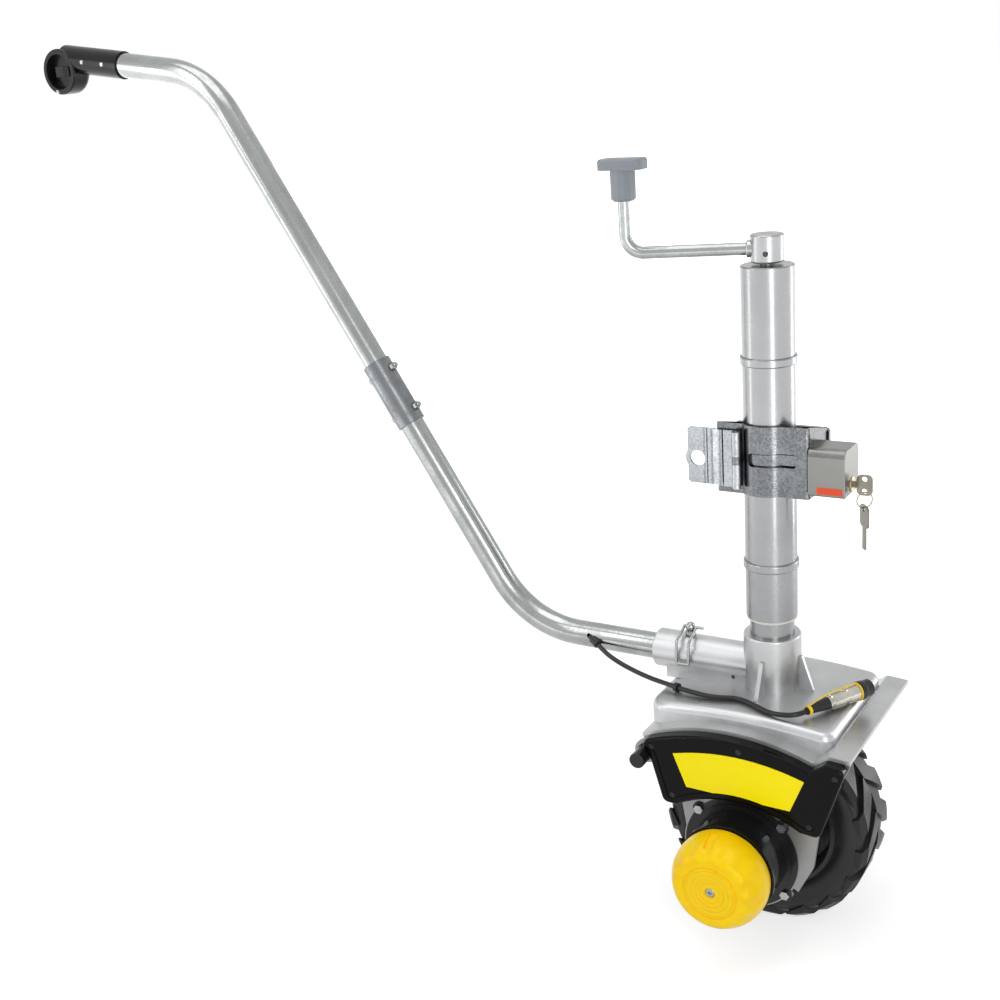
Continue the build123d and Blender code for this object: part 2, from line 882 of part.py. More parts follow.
with BuildPart() as lift_nut:
    with BuildSketch(level(inner_top)):
        with Locations((0, mast_y)):
            Circle(tube_bore_r - run_fit)
    extrude(amount=nut_flange_t)
    with BuildSketch(level(inner_top - nut_spigot)):
        with Locations((0, mast_y)):
            Circle(inner_r - inner_wall - run_fit)
    extrude(amount=nut_spigot)
    with BuildSketch(level(inner_top - nut_spigot)):
        with Locations((0, mast_y)):
            Circle(screw_r + run_fit)
    extrude(amount=nut_spigot + nut_flange_t, mode=Mode.SUBTRACT)
lift_nut.part.label = "lift_nut"
export_step(lift_nut.part, "parts/lift_nut.step")

with BuildPart() as inner_tube:
    with BuildSketch(level(inner_bottom)):
        with Locations((0, mast_y)):
            Circle(inner_r)
            Circle(inner_r - inner_wall, mode=Mode.SUBTRACT)
    extrude(amount=inner_top - inner_bottom)
inner_tube.part.label = "inner_tube"
export_step(inner_tube.part, "parts/inner_tube.step")

# SADDLE AND HANDLE


# The saddle's top line, drawn lower by the drop: an arch, a step up and a flat lip
def saddle_line(drop):
    left = (saddle_left[0], saddle_left[1] - drop)
    mid = (saddle_mid[0], saddle_mid[1] - drop)
    dip = (saddle_dip[0], saddle_dip[1] - drop)
    lip = (saddle_lip[0], saddle_lip[1] - drop)
    right = (saddle_right[0], saddle_right[1] - drop)
    ThreePointArc(left, mid, dip)
    FilletPolyline(dip, lip, right, radius=lip_round)
    return left, right


def pan_block(inset):
    with BuildPart() as block:
        with BuildSketch(chassis_front(-pan_half_w)):
            with BuildLine():
                low = saddle_dip[1] - saddle_t
                left = (pan_left, pan_top - pan_drop_left - inset)
                right = (pan_right, pan_top - pan_drop_right - inset)
                ThreePointArc(left, (pan_mid_x, pan_top - inset), right)
                Polyline(right, (pan_right, low), (pan_left, low), left)
            make_face()
        extrude(amount=2 * pan_half_w)
        with BuildSketch(level(saddle_dip[1] - saddle_t)) as plan:
            with Locations(((pan_left + pan_right) / 2, mast_y)):
                Rectangle(pan_right - pan_left - 2 * inset, 2 * (pan_half_w - inset))
            fillet(plan.vertices().group_by(Axis.X)[0], radius=pan_corner_left - inset)
            fillet(plan.vertices().group_by(Axis.X)[-1], radius=pan_corner_right - inset)
        extrude(amount=socket_depth, mode=Mode.INTERSECT)
        roof = block.faces().filter_by(Plane.XY, reverse=True).sort_by(Axis.Z)[-1]
        fillet(roof.edges(), radius=max(pan_top_edge - inset, 3))
    return block.part


pan_outer = pan_block(0)
pan_inner = pan_block(pan_wall)
with BuildPart() as saddle_casting:
    with BuildSketch(chassis_front(-saddle_half_w)):
        with BuildLine():
            top_left, top_right = saddle_line(0)
            low_left, low_right = saddle_line(saddle_t)
            Line(top_left, low_left)
            Line(top_right, low_right)
        make_face()
    extrude(amount=2 * saddle_half_w)
    add(pan_outer)
    add(pan_inner, mode=Mode.SUBTRACT)
    # Rails under the plate, which the cheeks are bolted to
    for rail_side in (-1, 1):
        rail_face = max(rail_side * cheek_in, rail_side * (cheek_in - rail_t))
        with BuildSketch(chassis_front(rail_face - rail_t)):
            with BuildLine():
                arch_left, arch_right = saddle_line(saddle_t)
                Polyline(
                    arch_right,
                    (rail_right, arch_right[1]),
                    (rail_right, rail_bottom),
                    (rail_left, rail_bottom),
                    (rail_left, arch_left[1]),
                    arch_left,
                )
            make_face()
        extrude(amount=rail_t)
    # The socket, the arm for the handle and the pedestal under the arm
    with BuildSketch(level(pan_top - pan_wall)):
        with Locations((0, mast_y)):
            Circle(socket_r)
    extrude(amount=socket_depth + pan_wall)
    fillet(saddle_casting.faces().sort_by(Axis.Z)[-1].edges(), radius=2)
    with BuildSketch(side(arm_left)):
        with Locations((mast_y, arm_axis_z)):
            Circle(arm_r)
    extrude(amount=-arm_left)
    with BuildSketch(side(pedestal_left)):
        with Locations((mast_y, (arm_axis_z + pan_top - pan_wall) / 2)):
            Rectangle(2 * pedestal_half_w, arm_axis_z - pan_top + pan_wall)
    extrude(amount=-pedestal_left)
    # Gussets round the socket
    for turn, reach in ((-90, gusset_front_reach), (90, gusset_front_reach), (0, gusset_side_reach)):
        web_way = (cos(radians(turn)), sin(radians(turn)), 0)
        web_plane = Plane(
            origin=(0, mast_y, 0), x_dir=web_way, z_dir=(web_way[1], -web_way[0], 0)
        )
        with BuildSketch(web_plane.offset(-gusset_t / 2)):
            with BuildLine():
                Polyline(
                    (socket_r / 2, rim_z + gusset_top),
                    (socket_r + 3, rim_z + gusset_top),
                    (reach, pan_top),
                    (reach, pan_top - pan_wall),
                    (socket_r / 2, pan_top - pan_wall),
                    close=True,
                )
            make_face()
        extrude(amount=gusset_t)
    # Bores for the inner tube, the handle, its pin and the set screw
    with BuildSketch(level(inner_bottom)):
        with Locations((0, mast_y)):
            Circle(inner_r + run_fit)
    extrude(amount=rim_z - inner_bottom, mode=Mode.SUBTRACT)
    with BuildSketch(side(handle_collar_left)):
        with Locations((mast_y, arm_axis_z)):
            Circle(handle_collar_r + seat_fit)
    extrude(amount=arm_left - handle_collar_left, mode=Mode.SUBTRACT)
    with BuildSketch(side(pedestal_left)):
        with Locations((mast_y, arm_axis_z)):
            Circle(handle_r + seat_fit)
    extrude(amount=handle_start - pedestal_left, mode=Mode.SUBTRACT)
    with BuildSketch(level(arm_axis_z)):
        with Locations((pin_x, mast_y)):
            Circle(pin_r + run_fit)
    extrude(amount=arm_r, mode=Mode.SUBTRACT)
    with BuildSketch(chassis_front(pedestal_half_w - 8)):
        with Locations((-43, arm_axis_z - 14.5)):
            Circle(lug_hole_r)
    extrude(amount=12, mode=Mode.SUBTRACT)
    # Threads for the cheek bolts
    for bolt_side in (-1, 1):
        with BuildSketch(chassis_front(bolt_side * cheek_in)):
            with Locations(*cheek_bolts_at):
                Circle(cheek_bolt_r + seat_fit)
        extrude(amount=-bolt_side * rail_t, mode=Mode.SUBTRACT)
saddle_casting.part.label = "saddle_casting"
export_step(saddle_casting.part, "parts/saddle_casting.step")

with BuildPart() as handle_collar:
    with BuildSketch(side(handle_collar_left)):
        with Locations((mast_y, arm_axis_z)):
            Circle(handle_collar_r)
            Circle(handle_r + seat_fit, mode=Mode.SUBTRACT)
    extrude(amount=arm_left - handle_collar_left)
    fillet(
        handle_collar.edges().filter_by(GeomType.CIRCLE).group_by(SortBy.RADIUS)[-1].sort_by(Axis.X)[0],
        radius=2,
    )
handle_collar.part.label = "handle_collar"
export_step(handle_collar.part, "parts/handle_collar.step")

# Holes across the riser for the sleeve's two bolts
sleeve_bolt_planes = [
    Plane(
        origin=(
            joint_at[0] + shift * riser_way[0],
            mast_y,
            joint_at[2] + shift * riser_way[2],
        ),
        z_dir=riser_normal,
    )
    for shift in (-sleeve_bolt_pitch / 2, sleeve_bolt_pitch / 2)
]


with BuildPart() as sleeve_drill:
    for bolt_plane in sleeve_bolt_planes:
        with BuildSketch(bolt_plane):
            Circle(sleeve_bolt_r + seat_fit)
        extrude(amount=2 * sleeve_r, both=True)

exit_root = Vector(cable_exit_x, mast_y - cable_exit_out, arm_axis_z + cable_exit_up)
exit_way = (Vector(*cable_bends[0]) - exit_root).normalized()
with BuildPart() as handle_lower:
    with BuildLine(front(mast_y)):
        low_path = FilletPolyline(
            (handle_start, arm_axis_z),
            (handle_low_corner, arm_axis_z),
            (joint_at[0], joint_at[2]),
            radius=handle_bend_r,
        )
    with BuildSketch(Plane(origin=low_path @ 0, z_dir=low_path % 0)):
        Circle(handle_r)
        Circle(handle_r - handle_wall, mode=Mode.SUBTRACT)
    sweep(path=low_path)
    add(sleeve_drill.part, mode=Mode.SUBTRACT)
    with BuildSketch(Plane(origin=tuple(exit_root), z_dir=tuple(exit_way))):
        Circle(cable_hole_r)
    extrude(amount=2 * cable_hole_r, both=True, mode=Mode.SUBTRACT)
    with BuildSketch(level(pin_bottom + rim_z)):
        with Locations((pin_x, mast_y)):
            Circle(pin_r + run_fit)
    extrude(amount=4 * arm_r, mode=Mode.SUBTRACT)
handle_lower.part.label = "handle_lower"
export_step(handle_lower.part, "parts/handle_lower.step")

# Small screws: two along the boot and one on the pod's rim
grip_slope = (handle_end[1] - handle_top_corner[1]) / (handle_end[0] - handle_top_corner[0])
head_screws_at = [
    (x, handle_end[1] + grip_slope * (x - handle_end[0]), boot_r) for x in (-952, -990)
] + [
    (
        pod_x + (pod_r + bowl_r) / 2 * cos(radians(-105)),
        pod_z + (pod_r + bowl_r) / 2 * sin(radians(-105)),
        pod_front,
    )
]


with BuildPart() as head_drill:
    for x, z, out in head_screws_at:
        with BuildSketch(chassis_front(out - small_shank_len)):
            with Locations((x, z)):
                Circle(small_shank_r + seat_fit)
        extrude(amount=small_shank_len)

with BuildPart() as handle_upper:
    with BuildLine(front(mast_y)):
        top_path = FilletPolyline(
            (joint_at[0], joint_at[2]), handle_top_corner, handle_end, radius=handle_bend_r
        )
    with BuildSketch(Plane(origin=top_path @ 0, z_dir=top_path % 0)):
        Circle(handle_r)
        Circle(handle_r - handle_wall, mode=Mode.SUBTRACT)
    sweep(path=top_path)
    add(sleeve_drill.part, mode=Mode.SUBTRACT)
    add(head_drill.part, mode=Mode.SUBTRACT)
handle_upper.part.label = "handle_upper"
export_step(handle_upper.part, "parts/handle_upper.step")

with BuildPart() as coupling_sleeve:
    with BuildSketch(Plane(origin=joint_at, z_dir=riser_way)):
        Circle(sleeve_r)
        Circle(handle_r + seat_fit, mode=Mode.SUBTRACT)
    extrude(amount=sleeve_len / 2, both=True)
    chamfer(
        coupling_sleeve.edges().filter_by(GeomType.CIRCLE).group_by(SortBy.RADIUS)[-1], length=0.8
    )
    add(sleeve_drill.part, mode=Mode.SUBTRACT)
coupling_sleeve.part.label = "coupling_sleeve"
export_step(coupling_sleeve.part, "parts/coupling_sleeve.step")

with BuildPart() as sleeve_bolts:
    for bolt_plane in sleeve_bolt_planes:
        with BuildSketch(bolt_plane.offset(-sleeve_r)):
            Circle(sleeve_bolt_r)
        extrude(amount=2 * sleeve_r + bolt_head_h + 5)
        with BuildSketch(bolt_plane.offset(-sleeve_r)):
            RegularPolygon(bolt_head_af / 2, 6, major_radius=False)
        extrude(amount=-bolt_head_h)
        with BuildSketch(bolt_plane.offset(sleeve_r)):
            RegularPolygon(bolt_head_af / 2, 6, major_radius=False)
        extrude(amount=bolt_head_h + 1)
sleeve_bolts.part.label = "sleeve_bolts"
export_step(sleeve_bolts.part, "parts/sleeve_bolts.step")

grip_way = Vector(handle_end[0] - handle_top_corner[0], 0, handle_end[1] - handle_top_corner[1])
grip_plane = Plane(
    origin=(boot_right, mast_y, handle_end[1] + grip_slope * (boot_right - handle_end[0])),
    z_dir=grip_way,
)
with BuildPart() as handle_head:
    with BuildSketch(chassis_front(-pod_back)):
        with Locations((pod_x, pod_z)):
            Circle(pod_r)
    extrude(amount=pod_back + pod_front)
    pod_rims = handle_head.edges().filter_by(GeomType.CIRCLE).sort_by(Axis.Y)
    fillet(pod_rims[-1], radius=pod_edge)
    fillet(pod_rims[0], radius=2.5)
    with BuildSketch(grip_plane):
        Circle(boot_r)
    extrude(amount=boot_right - pod_x)
    with BuildSketch(chassis_front(pod_front)):
        with Locations((pod_x, pod_z)):
            Circle(bowl_r)
    extrude(amount=-bowl_depth, taper=bowl_taper, mode=Mode.SUBTRACT)
    with BuildSketch(chassis_front(pod_front)):
        with Locations((pod_x, pod_z)):
            Circle(bowl_r)
    extrude(amount=bowl_clear, mode=Mode.SUBTRACT)
    with BuildSketch(grip_plane):
        Circle(handle_r + seat_fit)
    extrude(amount=(boot_right - handle_end[0]) * grip_way.length / abs(grip_way.X), mode=Mode.SUBTRACT)
    with BuildSketch(chassis_front(pod_front - bowl_depth - rocker_deep)):
        with Locations((pod_x, pod_z)):
            Rectangle(rocker_w + 2 * face_gap, rocker_h + 2 * face_gap)
    extrude(amount=rocker_deep + 1, mode=Mode.SUBTRACT)
    add(head_drill.part, mode=Mode.SUBTRACT)
handle_head.part.label = "handle_head"
export_step(handle_head.part, "parts/handle_head.step")

with BuildPart() as head_screws:
    for x, z, out in head_screws_at:
        with BuildSketch(chassis_front(out)):
            with Locations((x, z)):
                Circle(small_screw_r)
        extrude(amount=small_screw_h, taper=20)
        with BuildSketch(chassis_front(out - small_shank_len)):
            with Locations((x, z)):
                Circle(small_shank_r)
        extrude(amount=small_shank_len)
head_screws.part.label = "head_screws"
export_step(head_screws.part, "parts/head_screws.step")

# The rocker's top is two slopes that meet over its pivot
rocker_floor = pod_front - bowl_depth
with BuildPart() as rocker_switch:
    with BuildSketch(level(pod_z - rocker_h / 2)):
        with BuildLine():
            Polyline(
                (pod_x - rocker_w / 2, mast_y - rocker_floor - rocker_out),
                (pod_x, mast_y - rocker_floor - rocker_out + 2),
                (pod_x + rocker_w / 2, mast_y - rocker_floor - rocker_out),
                (pod_x + rocker_w / 2 - 1, mast_y - rocker_floor + 0.5),
                (pod_x + rocker_foot, mast_y - rocker_floor + rocker_deep - face_gap),
                (pod_x - rocker_foot, mast_y - rocker_floor + rocker_deep - face_gap),
                (pod_x - rocker_w / 2 + 1, mast_y - rocker_floor + 0.5),
                close=True,
            )
        make_face()
    extrude(amount=rocker_h)
rocker_switch.part.label = "rocker_switch"
export_step(rocker_switch.part, "parts/rocker_switch.step")

# LOCKING PIN

with BuildPart() as locking_pin:
    with BuildSketch(level(rim_z + pin_bottom)):
        with Locations((pin_x, mast_y)):
            Circle(pin_r)
    extrude(amount=pin_head_z - pin_bottom)
    chamfer(locking_pin.faces().sort_by(Axis.Z)[0].edges(), length=1.5)
    with BuildSketch(level(rim_z + pin_collar_z)):
        with Locations((pin_x, mast_y)):
            Circle(pin_collar_r)
    extrude(amount=pin_collar_t)
    with Locations((pin_x, mast_y, rim_z + pin_head_z)):
        Sphere(pin_head_r)
    with BuildSketch(side(pin_x)):
        with Locations((mast_y, rim_z + pin_head_z)):
            Circle(bail_r + 0.35)
    extrude(amount=2 * pin_head_r, both=True, mode=Mode.SUBTRACT)
locking_pin.part.label = "locking_pin"
export_step(locking_pin.part, "parts/locking_pin.step")

bail_corners = (
    (bail_stub, 0, pin_head_z),
    (bail_left, 0, pin_head_z),
    (bail_left, bail_out - 2, bail_knee_z),
    (bail_left, bail_out, bail_low_z),
    (bail_right, bail_out, bail_low_z),
    (bail_right, bail_out - 2, bail_knee_z),
    (bail_right, 0, pin_head_z),
)
with BuildPart() as pin_ring:
    add(bent_wire([(x, mast_y - out, rim_z + z) for x, out, z in bail_corners], bail_r))
pin_ring.part.label = "pin_ring"
export_step(pin_ring.part, "parts/pin_ring.step")

# CHEEKS AND COVERS


def cheek_blank(back, right_edge, with_lip):
    with BuildPart() as block:
        with BuildSketch(chassis_front(back)):
            with BuildLine():
                left = (saddle_left[0], saddle_left[1] - saddle_t)
                right = (saddle_dip[0], saddle_dip[1] - saddle_t)
                if with_lip:
                    left, right = saddle_line(saddle_t)
                else:
                    ThreePointArc(left, (saddle_mid[0], saddle_mid[1] - saddle_t), right)
                Polyline(right, *right_edge, (0, axle_z), *cheek_left_edge, left)
            make_face()
            with Locations((0, axle_z)):
                Circle(cheek_lug_r)
            with Locations(*gearbox_bolts_at):
                Circle(gearbox_ear_r)
        extrude(amount=cheek_t)
        with BuildSketch(chassis_front(back)):
            with Locations(*cheek_bolts_at):
                Circle(cheek_bolt_r + bolt_fit)
        extrude(amount=cheek_t, mode=Mode.SUBTRACT)
    return block.part


gearbox_bolts_at = [
    (
        gearbox_bolt_circle * cos(radians(turn)),
        axle_z + gearbox_bolt_circle * sin(radians(turn)),
    )
    for turn in gearbox_bolt_turns
]

with BuildPart() as front_cheek:
    add(cheek_blank(cheek_in, front_right_edge, True))
    with BuildSketch(chassis_front(cheek_in)):
        with Locations((panel_x, panel_z)):
            Circle(panel_ear_r)
    extrude(amount=cheek_t)
    with BuildSketch(chassis_front(cheek_in)):
        with Locations((0, axle_z)):
            Circle(motor_r + face_gap)
        with Locations((panel_x, panel_z)):
            Circle(panel_r + seat_fit)
        with Locations(*gearbox_bolts_at):
            Circle(gearbox_bolt_r + bolt_fit)
        with Locations(*cover_screws_at):
            Circle(cover_screw_bore + seat_fit)
    extrude(amount=cheek_t, mode=Mode.SUBTRACT)
front_cheek.part.label = "front_cheek"
export_step(front_cheek.part, "parts/front_cheek.step")

with BuildPart() as rear_cheek:
    add(cheek_blank(-cheek_out, rear_right_edge, False))
    with BuildSketch(chassis_front(-cheek_in)):
        with Locations((0, axle_z)):
            Circle(gearbox_boss_r)
    extrude(amount=rear_boss_t)
    with BuildSketch(chassis_front(-cheek_in)):
        with Locations((0, axle_z)):
            Circle(ball_r + seat_fit)
    extrude(amount=rear_boss_t, mode=Mode.SUBTRACT)
rear_cheek.part.label = "rear_cheek"
export_step(rear_cheek.part, "parts/rear_cheek.step")

with BuildPart() as cheek_bolts:
    for bolt_side in (1, -1):
        with BuildSketch(chassis_front(bolt_side * cheek_out)):
            with Locations(*cheek_bolts_at):
                Circle(cheek_bolt_r)
        extrude(amount=-bolt_side * (cheek_t + rail_t))
        with BuildSketch(chassis_front(bolt_side * cheek_out)):
            with Locations(*cheek_bolts_at):
                RegularPolygon(cheek_bolt_af / 2, 6, major_radius=False)
        extrude(amount=bolt_side * cheek_bolt_h)
cheek_bolts.part.label = "cheek_bolts"
export_step(cheek_bolts.part, "parts/cheek_bolts.step")

# The cover follows the saddle above and clears the motor below
def cover_block(inset, start, end):
    with BuildPart() as block:
        with BuildSketch(chassis_front(start)):
            with BuildLine():
                left, right = saddle_line(saddle_t + face_gap)
                Polyline(right, cover_foot_right, cover_toe_right)
                ThreePointArc(cover_toe_right, (0, cover_arch_top), cover_toe_left)
                Polyline(cover_toe_left, cover_foot_left, cover_waist, left)
            make_face()
            if inset:
                offset(amount=-inset)
        extrude(amount=end - start)
        for corner in (left, right, cover_foot_right, cover_foot_left):
            upright = block.edges().filter_by(Axis.Y).sort_by_distance(
                Vector(corner[0], mast_y - start, corner[1])
            )[0]
            fillet(upright, radius=max(cover_corner - inset, 1))
    return block.part


with BuildPart() as front_cover:
    add(cover_block(0, cheek_out, cover_out))
    fillet(front_cover.faces().sort_by(Axis.Y)[0].outer_wire().edges(), radius=cover_edge)
    add(cover_block(cover_wall, cheek_out, cover_out - cover_wall), mode=Mode.SUBTRACT)
    add(cover_block(cover_inset, cover_out - cover_inset_t, cover_out), mode=Mode.SUBTRACT)
    with BuildSketch(chassis_front(cheek_out)):
        with Locations(*cover_screws_at):
            Circle(cover_screw_r + cover_pillar_t)
    extrude(amount=cover_t - cover_inset_t)
    with BuildSketch(chassis_front(cheek_out)):
        with Locations(*cover_screws_at):
            Circle(cover_screw_bore + bolt_fit)
    extrude(amount=cover_t, mode=Mode.SUBTRACT)
    with BuildSketch(chassis_front(cover_out)):
        with Locations(*cover_screws_at):
            Circle(cover_screw_r + bolt_fit)
    extrude(amount=-cover_screw_h - cover_inset_t, mode=Mode.SUBTRACT)
front_cover.part.label = "front_cover"
export_step(front_cover.part, "parts/front_cover.step")

cover_head_back = cover_out - cover_inset_t - cover_screw_h
with BuildPart() as cover_screws:
    with BuildSketch(chassis_front(cover_head_back)):
        with Locations(*cover_screws_at):
            Circle(cover_screw_r)
    extrude(amount=cover_screw_h)
    with BuildSketch(chassis_front(cover_head_back)):
        with Locations(*cover_screws_at):
            Circle(cover_screw_bore)
    extrude(amount=cheek_in - cover_head_back)
cover_screws.part.label = "cover_screws"
export_step(cover_screws.part, "parts/cover_screws.step")

# GEARBOX AND MOTOR

lid_back = cheek_in - gearbox_wall
axle_axis = Axis((0, mast_y, axle_z), (0, -1, 0))
axle_profile = Plane(origin=(0, mast_y, axle_z), x_dir=(0, -1, 0), z_dir=(-1, 0, 0))
lay_z = axle_z + centre_distance

with BuildPart() as gearbox_housing:
    with BuildSketch(chassis_front(gearbox_end)):
        with Locations((0, axle_z)):
            Circle(gearbox_r)
    extrude(amount=lid_back - gearbox_end)
    fillet(gearbox_housing.edges().filter_by(GeomType.CIRCLE).sort_by(Axis.Y)[-1], radius=3)
    with BuildSketch(chassis_front(gearbox_end + gearbox_wall)):
        with Locations((0, axle_z)):
            Circle(gearbox_r - gearbox_wall)
    extrude(amount=lid_back - gearbox_end - gearbox_wall, mode=Mode.SUBTRACT)
    # Pillars for the bolts, joined to the wall
    with BuildSketch(chassis_front(gearbox_end + gearbox_wall)):
        with Locations(*gearbox_bolts_at):
            Circle(gearbox_bolt_r + 2.5)
    extrude(amount=lid_back - gearbox_end - gearbox_wall)
    with BuildSketch(chassis_front(lid_back - gearbox_bolt_grip - 1)):
        with Locations(*gearbox_bolts_at):
            Circle(gearbox_bolt_r + seat_fit)
    extrude(amount=gearbox_bolt_grip + 1, mode=Mode.SUBTRACT)
    with BuildSketch(chassis_front(gearbox_end - gearbox_boss_t)):
        with Locations((0, axle_z)):
            Circle(gearbox_boss_r)
    extrude(amount=gearbox_boss_t)
    with BuildSketch(chassis_front(gearbox_end - gearbox_boss_t)):
        with Locations((0, axle_z)):
            Circle(ball_r + seat_fit)
    extrude(amount=gearbox_boss_t + gearbox_wall, mode=Mode.SUBTRACT)
    with BuildSketch(chassis_front(gearbox_end + gearbox_wall - lay_shaft_seat)):
        with Locations((0, lay_z)):
            Circle(lay_shaft_r + run_fit)
    extrude(amount=lay_shaft_seat, mode=Mode.SUBTRACT)
gearbox_housing.part.label = "gearbox_housing"
export_step(gearbox_housing.part, "parts/gearbox_housing.step")

with BuildPart() as gearbox_lid:
    with BuildSketch(chassis_front(lid_back)):
        with Locations((0, axle_z)):
            Circle(gearbox_r)
            Circle(shaft_r + run_fit, mode=Mode.SUBTRACT)
        with Locations(*gearbox_bolts_at):
            Circle(gearbox_bolt_r + bolt_fit, mode=Mode.SUBTRACT)
    extrude(amount=gearbox_wall)
    with BuildSketch(chassis_front(lid_back)):
        with Locations((0, lay_z)):
            Circle(lay_shaft_r + run_fit)
    extrude(amount=lay_shaft_seat, mode=Mode.SUBTRACT)
gearbox_lid.part.label = "gearbox_lid"
export_step(gearbox_lid.part, "parts/gearbox_lid.step")

with BuildPart() as housing_screws:
    with BuildSketch(chassis_front(lid_back - gearbox_bolt_grip)):
        with Locations(*gearbox_bolts_at):
            Circle(gearbox_bolt_r)
    extrude(amount=cheek_out + motor_flange_t - lid_back + gearbox_bolt_grip)
    with BuildSketch(chassis_front(cheek_out + motor_flange_t)):
        with Locations(*gearbox_bolts_at):
            RegularPolygon(bolt_head_af / 2, 6, major_radius=False)
    extrude(amount=bolt_head_h)
housing_screws.part.label = "housing_screws"
export_step(housing_screws.part, "parts/housing_screws.step")

with BuildPart() as motor_can:
    with BuildSketch(chassis_front(cheek_in)):
        with Locations((0, axle_z)):
            Circle(motor_r)
            Circle(motor_r - motor_wall, mode=Mode.SUBTRACT)
    extrude(amount=motor_front - cheek_in)
    with BuildSketch(chassis_front(motor_front - motor_rim_t)):
        with Locations((0, axle_z)):
            Circle(motor_rim_r)
            Circle(motor_r - motor_wall, mode=Mode.SUBTRACT)
    extrude(amount=motor_rim_t)
    # The flange on the cheek, with an ear at each bolt and a step round the can
    with BuildSketch(chassis_front(cheek_out)):
        with Locations((0, axle_z)):
            Circle(motor_flange_r)
        with Locations(*gearbox_bolts_at):
            Circle(gearbox_ear_r)
            Circle(gearbox_bolt_r + bolt_fit, mode=Mode.SUBTRACT)
        with Locations((0, axle_z)):
            Circle(motor_r - motor_wall, mode=Mode.SUBTRACT)
    extrude(amount=motor_flange_t)
    with BuildSketch(chassis_front(cheek_out + motor_flange_t)):
        with Locations((0, axle_z)):
            Circle(motor_step_r)
            Circle(motor_r - motor_wall, mode=Mode.SUBTRACT)
    extrude(amount=motor_flange_t)
    with BuildSketch(chassis_front(motor_front - motor_wall)):
        with Locations((0, axle_z)):
            Circle(motor_r - 1)
    extrude(amount=motor_wall)
    with BuildSketch(chassis_front(motor_front - motor_wall - shaft_seat)):
        with Locations((0, axle_z)):
            Circle(shaft_r + 4)
            Circle(shaft_r + run_fit, mode=Mode.SUBTRACT)
    extrude(amount=shaft_seat)
    with BuildSketch(chassis_front(motor_front)):
        with Locations((0, axle_z)):
            Circle(motor_nose_r)
    extrude(amount=motor_nose_len)
    with BuildSketch(chassis_front(motor_front - motor_wall)):
        with Locations((0, axle_z)):
            Circle(clutch_rod_r + run_fit)
    extrude(amount=motor_wall + motor_nose_len, mode=Mode.SUBTRACT)
motor_can.part.label = "motor_can"
export_step(motor_can.part, "parts/motor_can.step")

with BuildPart() as motor_rotor:
    with BuildSketch(chassis_front(stage_one)):
        with Locations((0, axle_z)):
            Circle(shaft_neck_r)
    extrude(amount=cheek_in - gearbox_wall - stage_one)
    with BuildSketch(chassis_front(lid_back)):
        with Locations((0, axle_z)):
            Circle(shaft_r)
    extrude(amount=motor_front - motor_wall - face_gap - lid_back)
    with BuildSketch(chassis_front(rotor_back)):
        with Locations((0, axle_z)):
            Circle(rotor_r)
    extrude(amount=rotor_front - rotor_back)
    with BuildSketch(gear_plane(stage_one, axle_z)):
        with BuildLine():
            gear_outline(pinion_teeth, 90)
        make_face()
    extrude(amount=stage_w)
    with BuildSketch(chassis_front(stage_one - stage_w)):
        with Locations((0, axle_z)):
            Circle(shaft_bore_r)
    extrude(amount=motor_front, mode=Mode.SUBTRACT)
motor_rotor.part.label = "motor_rotor"
export_step(motor_rotor.part, "parts/motor_rotor.step")

gap_turn = 180 / wheel_teeth
with BuildPart() as layshaft_gears:
    with BuildSketch(gear_plane(stage_one, lay_z)):
        with BuildLine():
            gear_outline(wheel_teeth, -90 + gap_turn)
        make_face()
    extrude(amount=stage_w)
    with BuildSketch(gear_plane(stage_two, lay_z)):
        with BuildLine():
            gear_outline(pinion_teeth, -90)
        make_face()
    extrude(amount=stage_w)
    with BuildSketch(chassis_front(gearbox_end + gearbox_wall - lay_shaft_seat + face_gap)):
        with Locations((0, lay_z)):
            Circle(lay_shaft_r)
    extrude(amount=lid_back - gearbox_end - gearbox_wall + 2 * lay_shaft_seat - 2 * face_gap)
layshaft_gears.part.label = "layshaft_gears"
export_step(layshaft_gears.part, "parts/layshaft_gears.step")

with BuildPart() as output_gear:
    with BuildSketch(gear_plane(stage_two, axle_z)):
        with BuildLine():
            gear_outline(wheel_teeth, 90 + gap_turn)
        make_face()
        Circle(axle_r + seat_fit, mode=Mode.SUBTRACT)
    extrude(amount=stage_w)
output_gear.part.label = "output_gear"
export_step(output_gear.part, "parts/output_gear.step")

with BuildPart() as axle_bearings:
    for ball_back in (gearbox_end - gearbox_boss_t, -cheek_in):
        with BuildSketch(chassis_front(ball_back)):
            with Locations((0, axle_z)):
                Circle(ball_r)
                Circle(axle_r + run_fit, mode=Mode.SUBTRACT)
        extrude(amount=ball_w)
axle_bearings.part.label = "axle_bearings"
export_step(axle_bearings.part, "parts/axle_bearings.step")

# WHEEL

with BuildPart() as axle:
    with BuildSketch(chassis_front(-cheek_in + face_gap)):
        with Locations((0, axle_z)):
            Circle(axle_r)
    extrude(amount=cheek_in + stage_two + 2 - face_gap)
    for shoulder_start, shoulder_len in (
        (-cheek_in + ball_w + face_gap, cheek_in - ball_w - face_gap - rim_hub_w / 2),
        (rim_hub_w / 2, gearbox_end - gearbox_boss_t - face_gap - rim_hub_w / 2),
    ):
        with BuildSketch(chassis_front(shoulder_start)):
            with Locations((0, axle_z)):
                Circle(axle_r + 4)
        extrude(amount=shoulder_len)
    with BuildSketch(chassis_front(stage_two + 2)):
        with Locations((0, axle_z)):
            Circle(clutch_rod_r + face_gap)
    extrude(amount=-2 * clutch_travel, mode=Mode.SUBTRACT)
axle.part.label = "axle"
export_step(axle.part, "parts/axle.step")

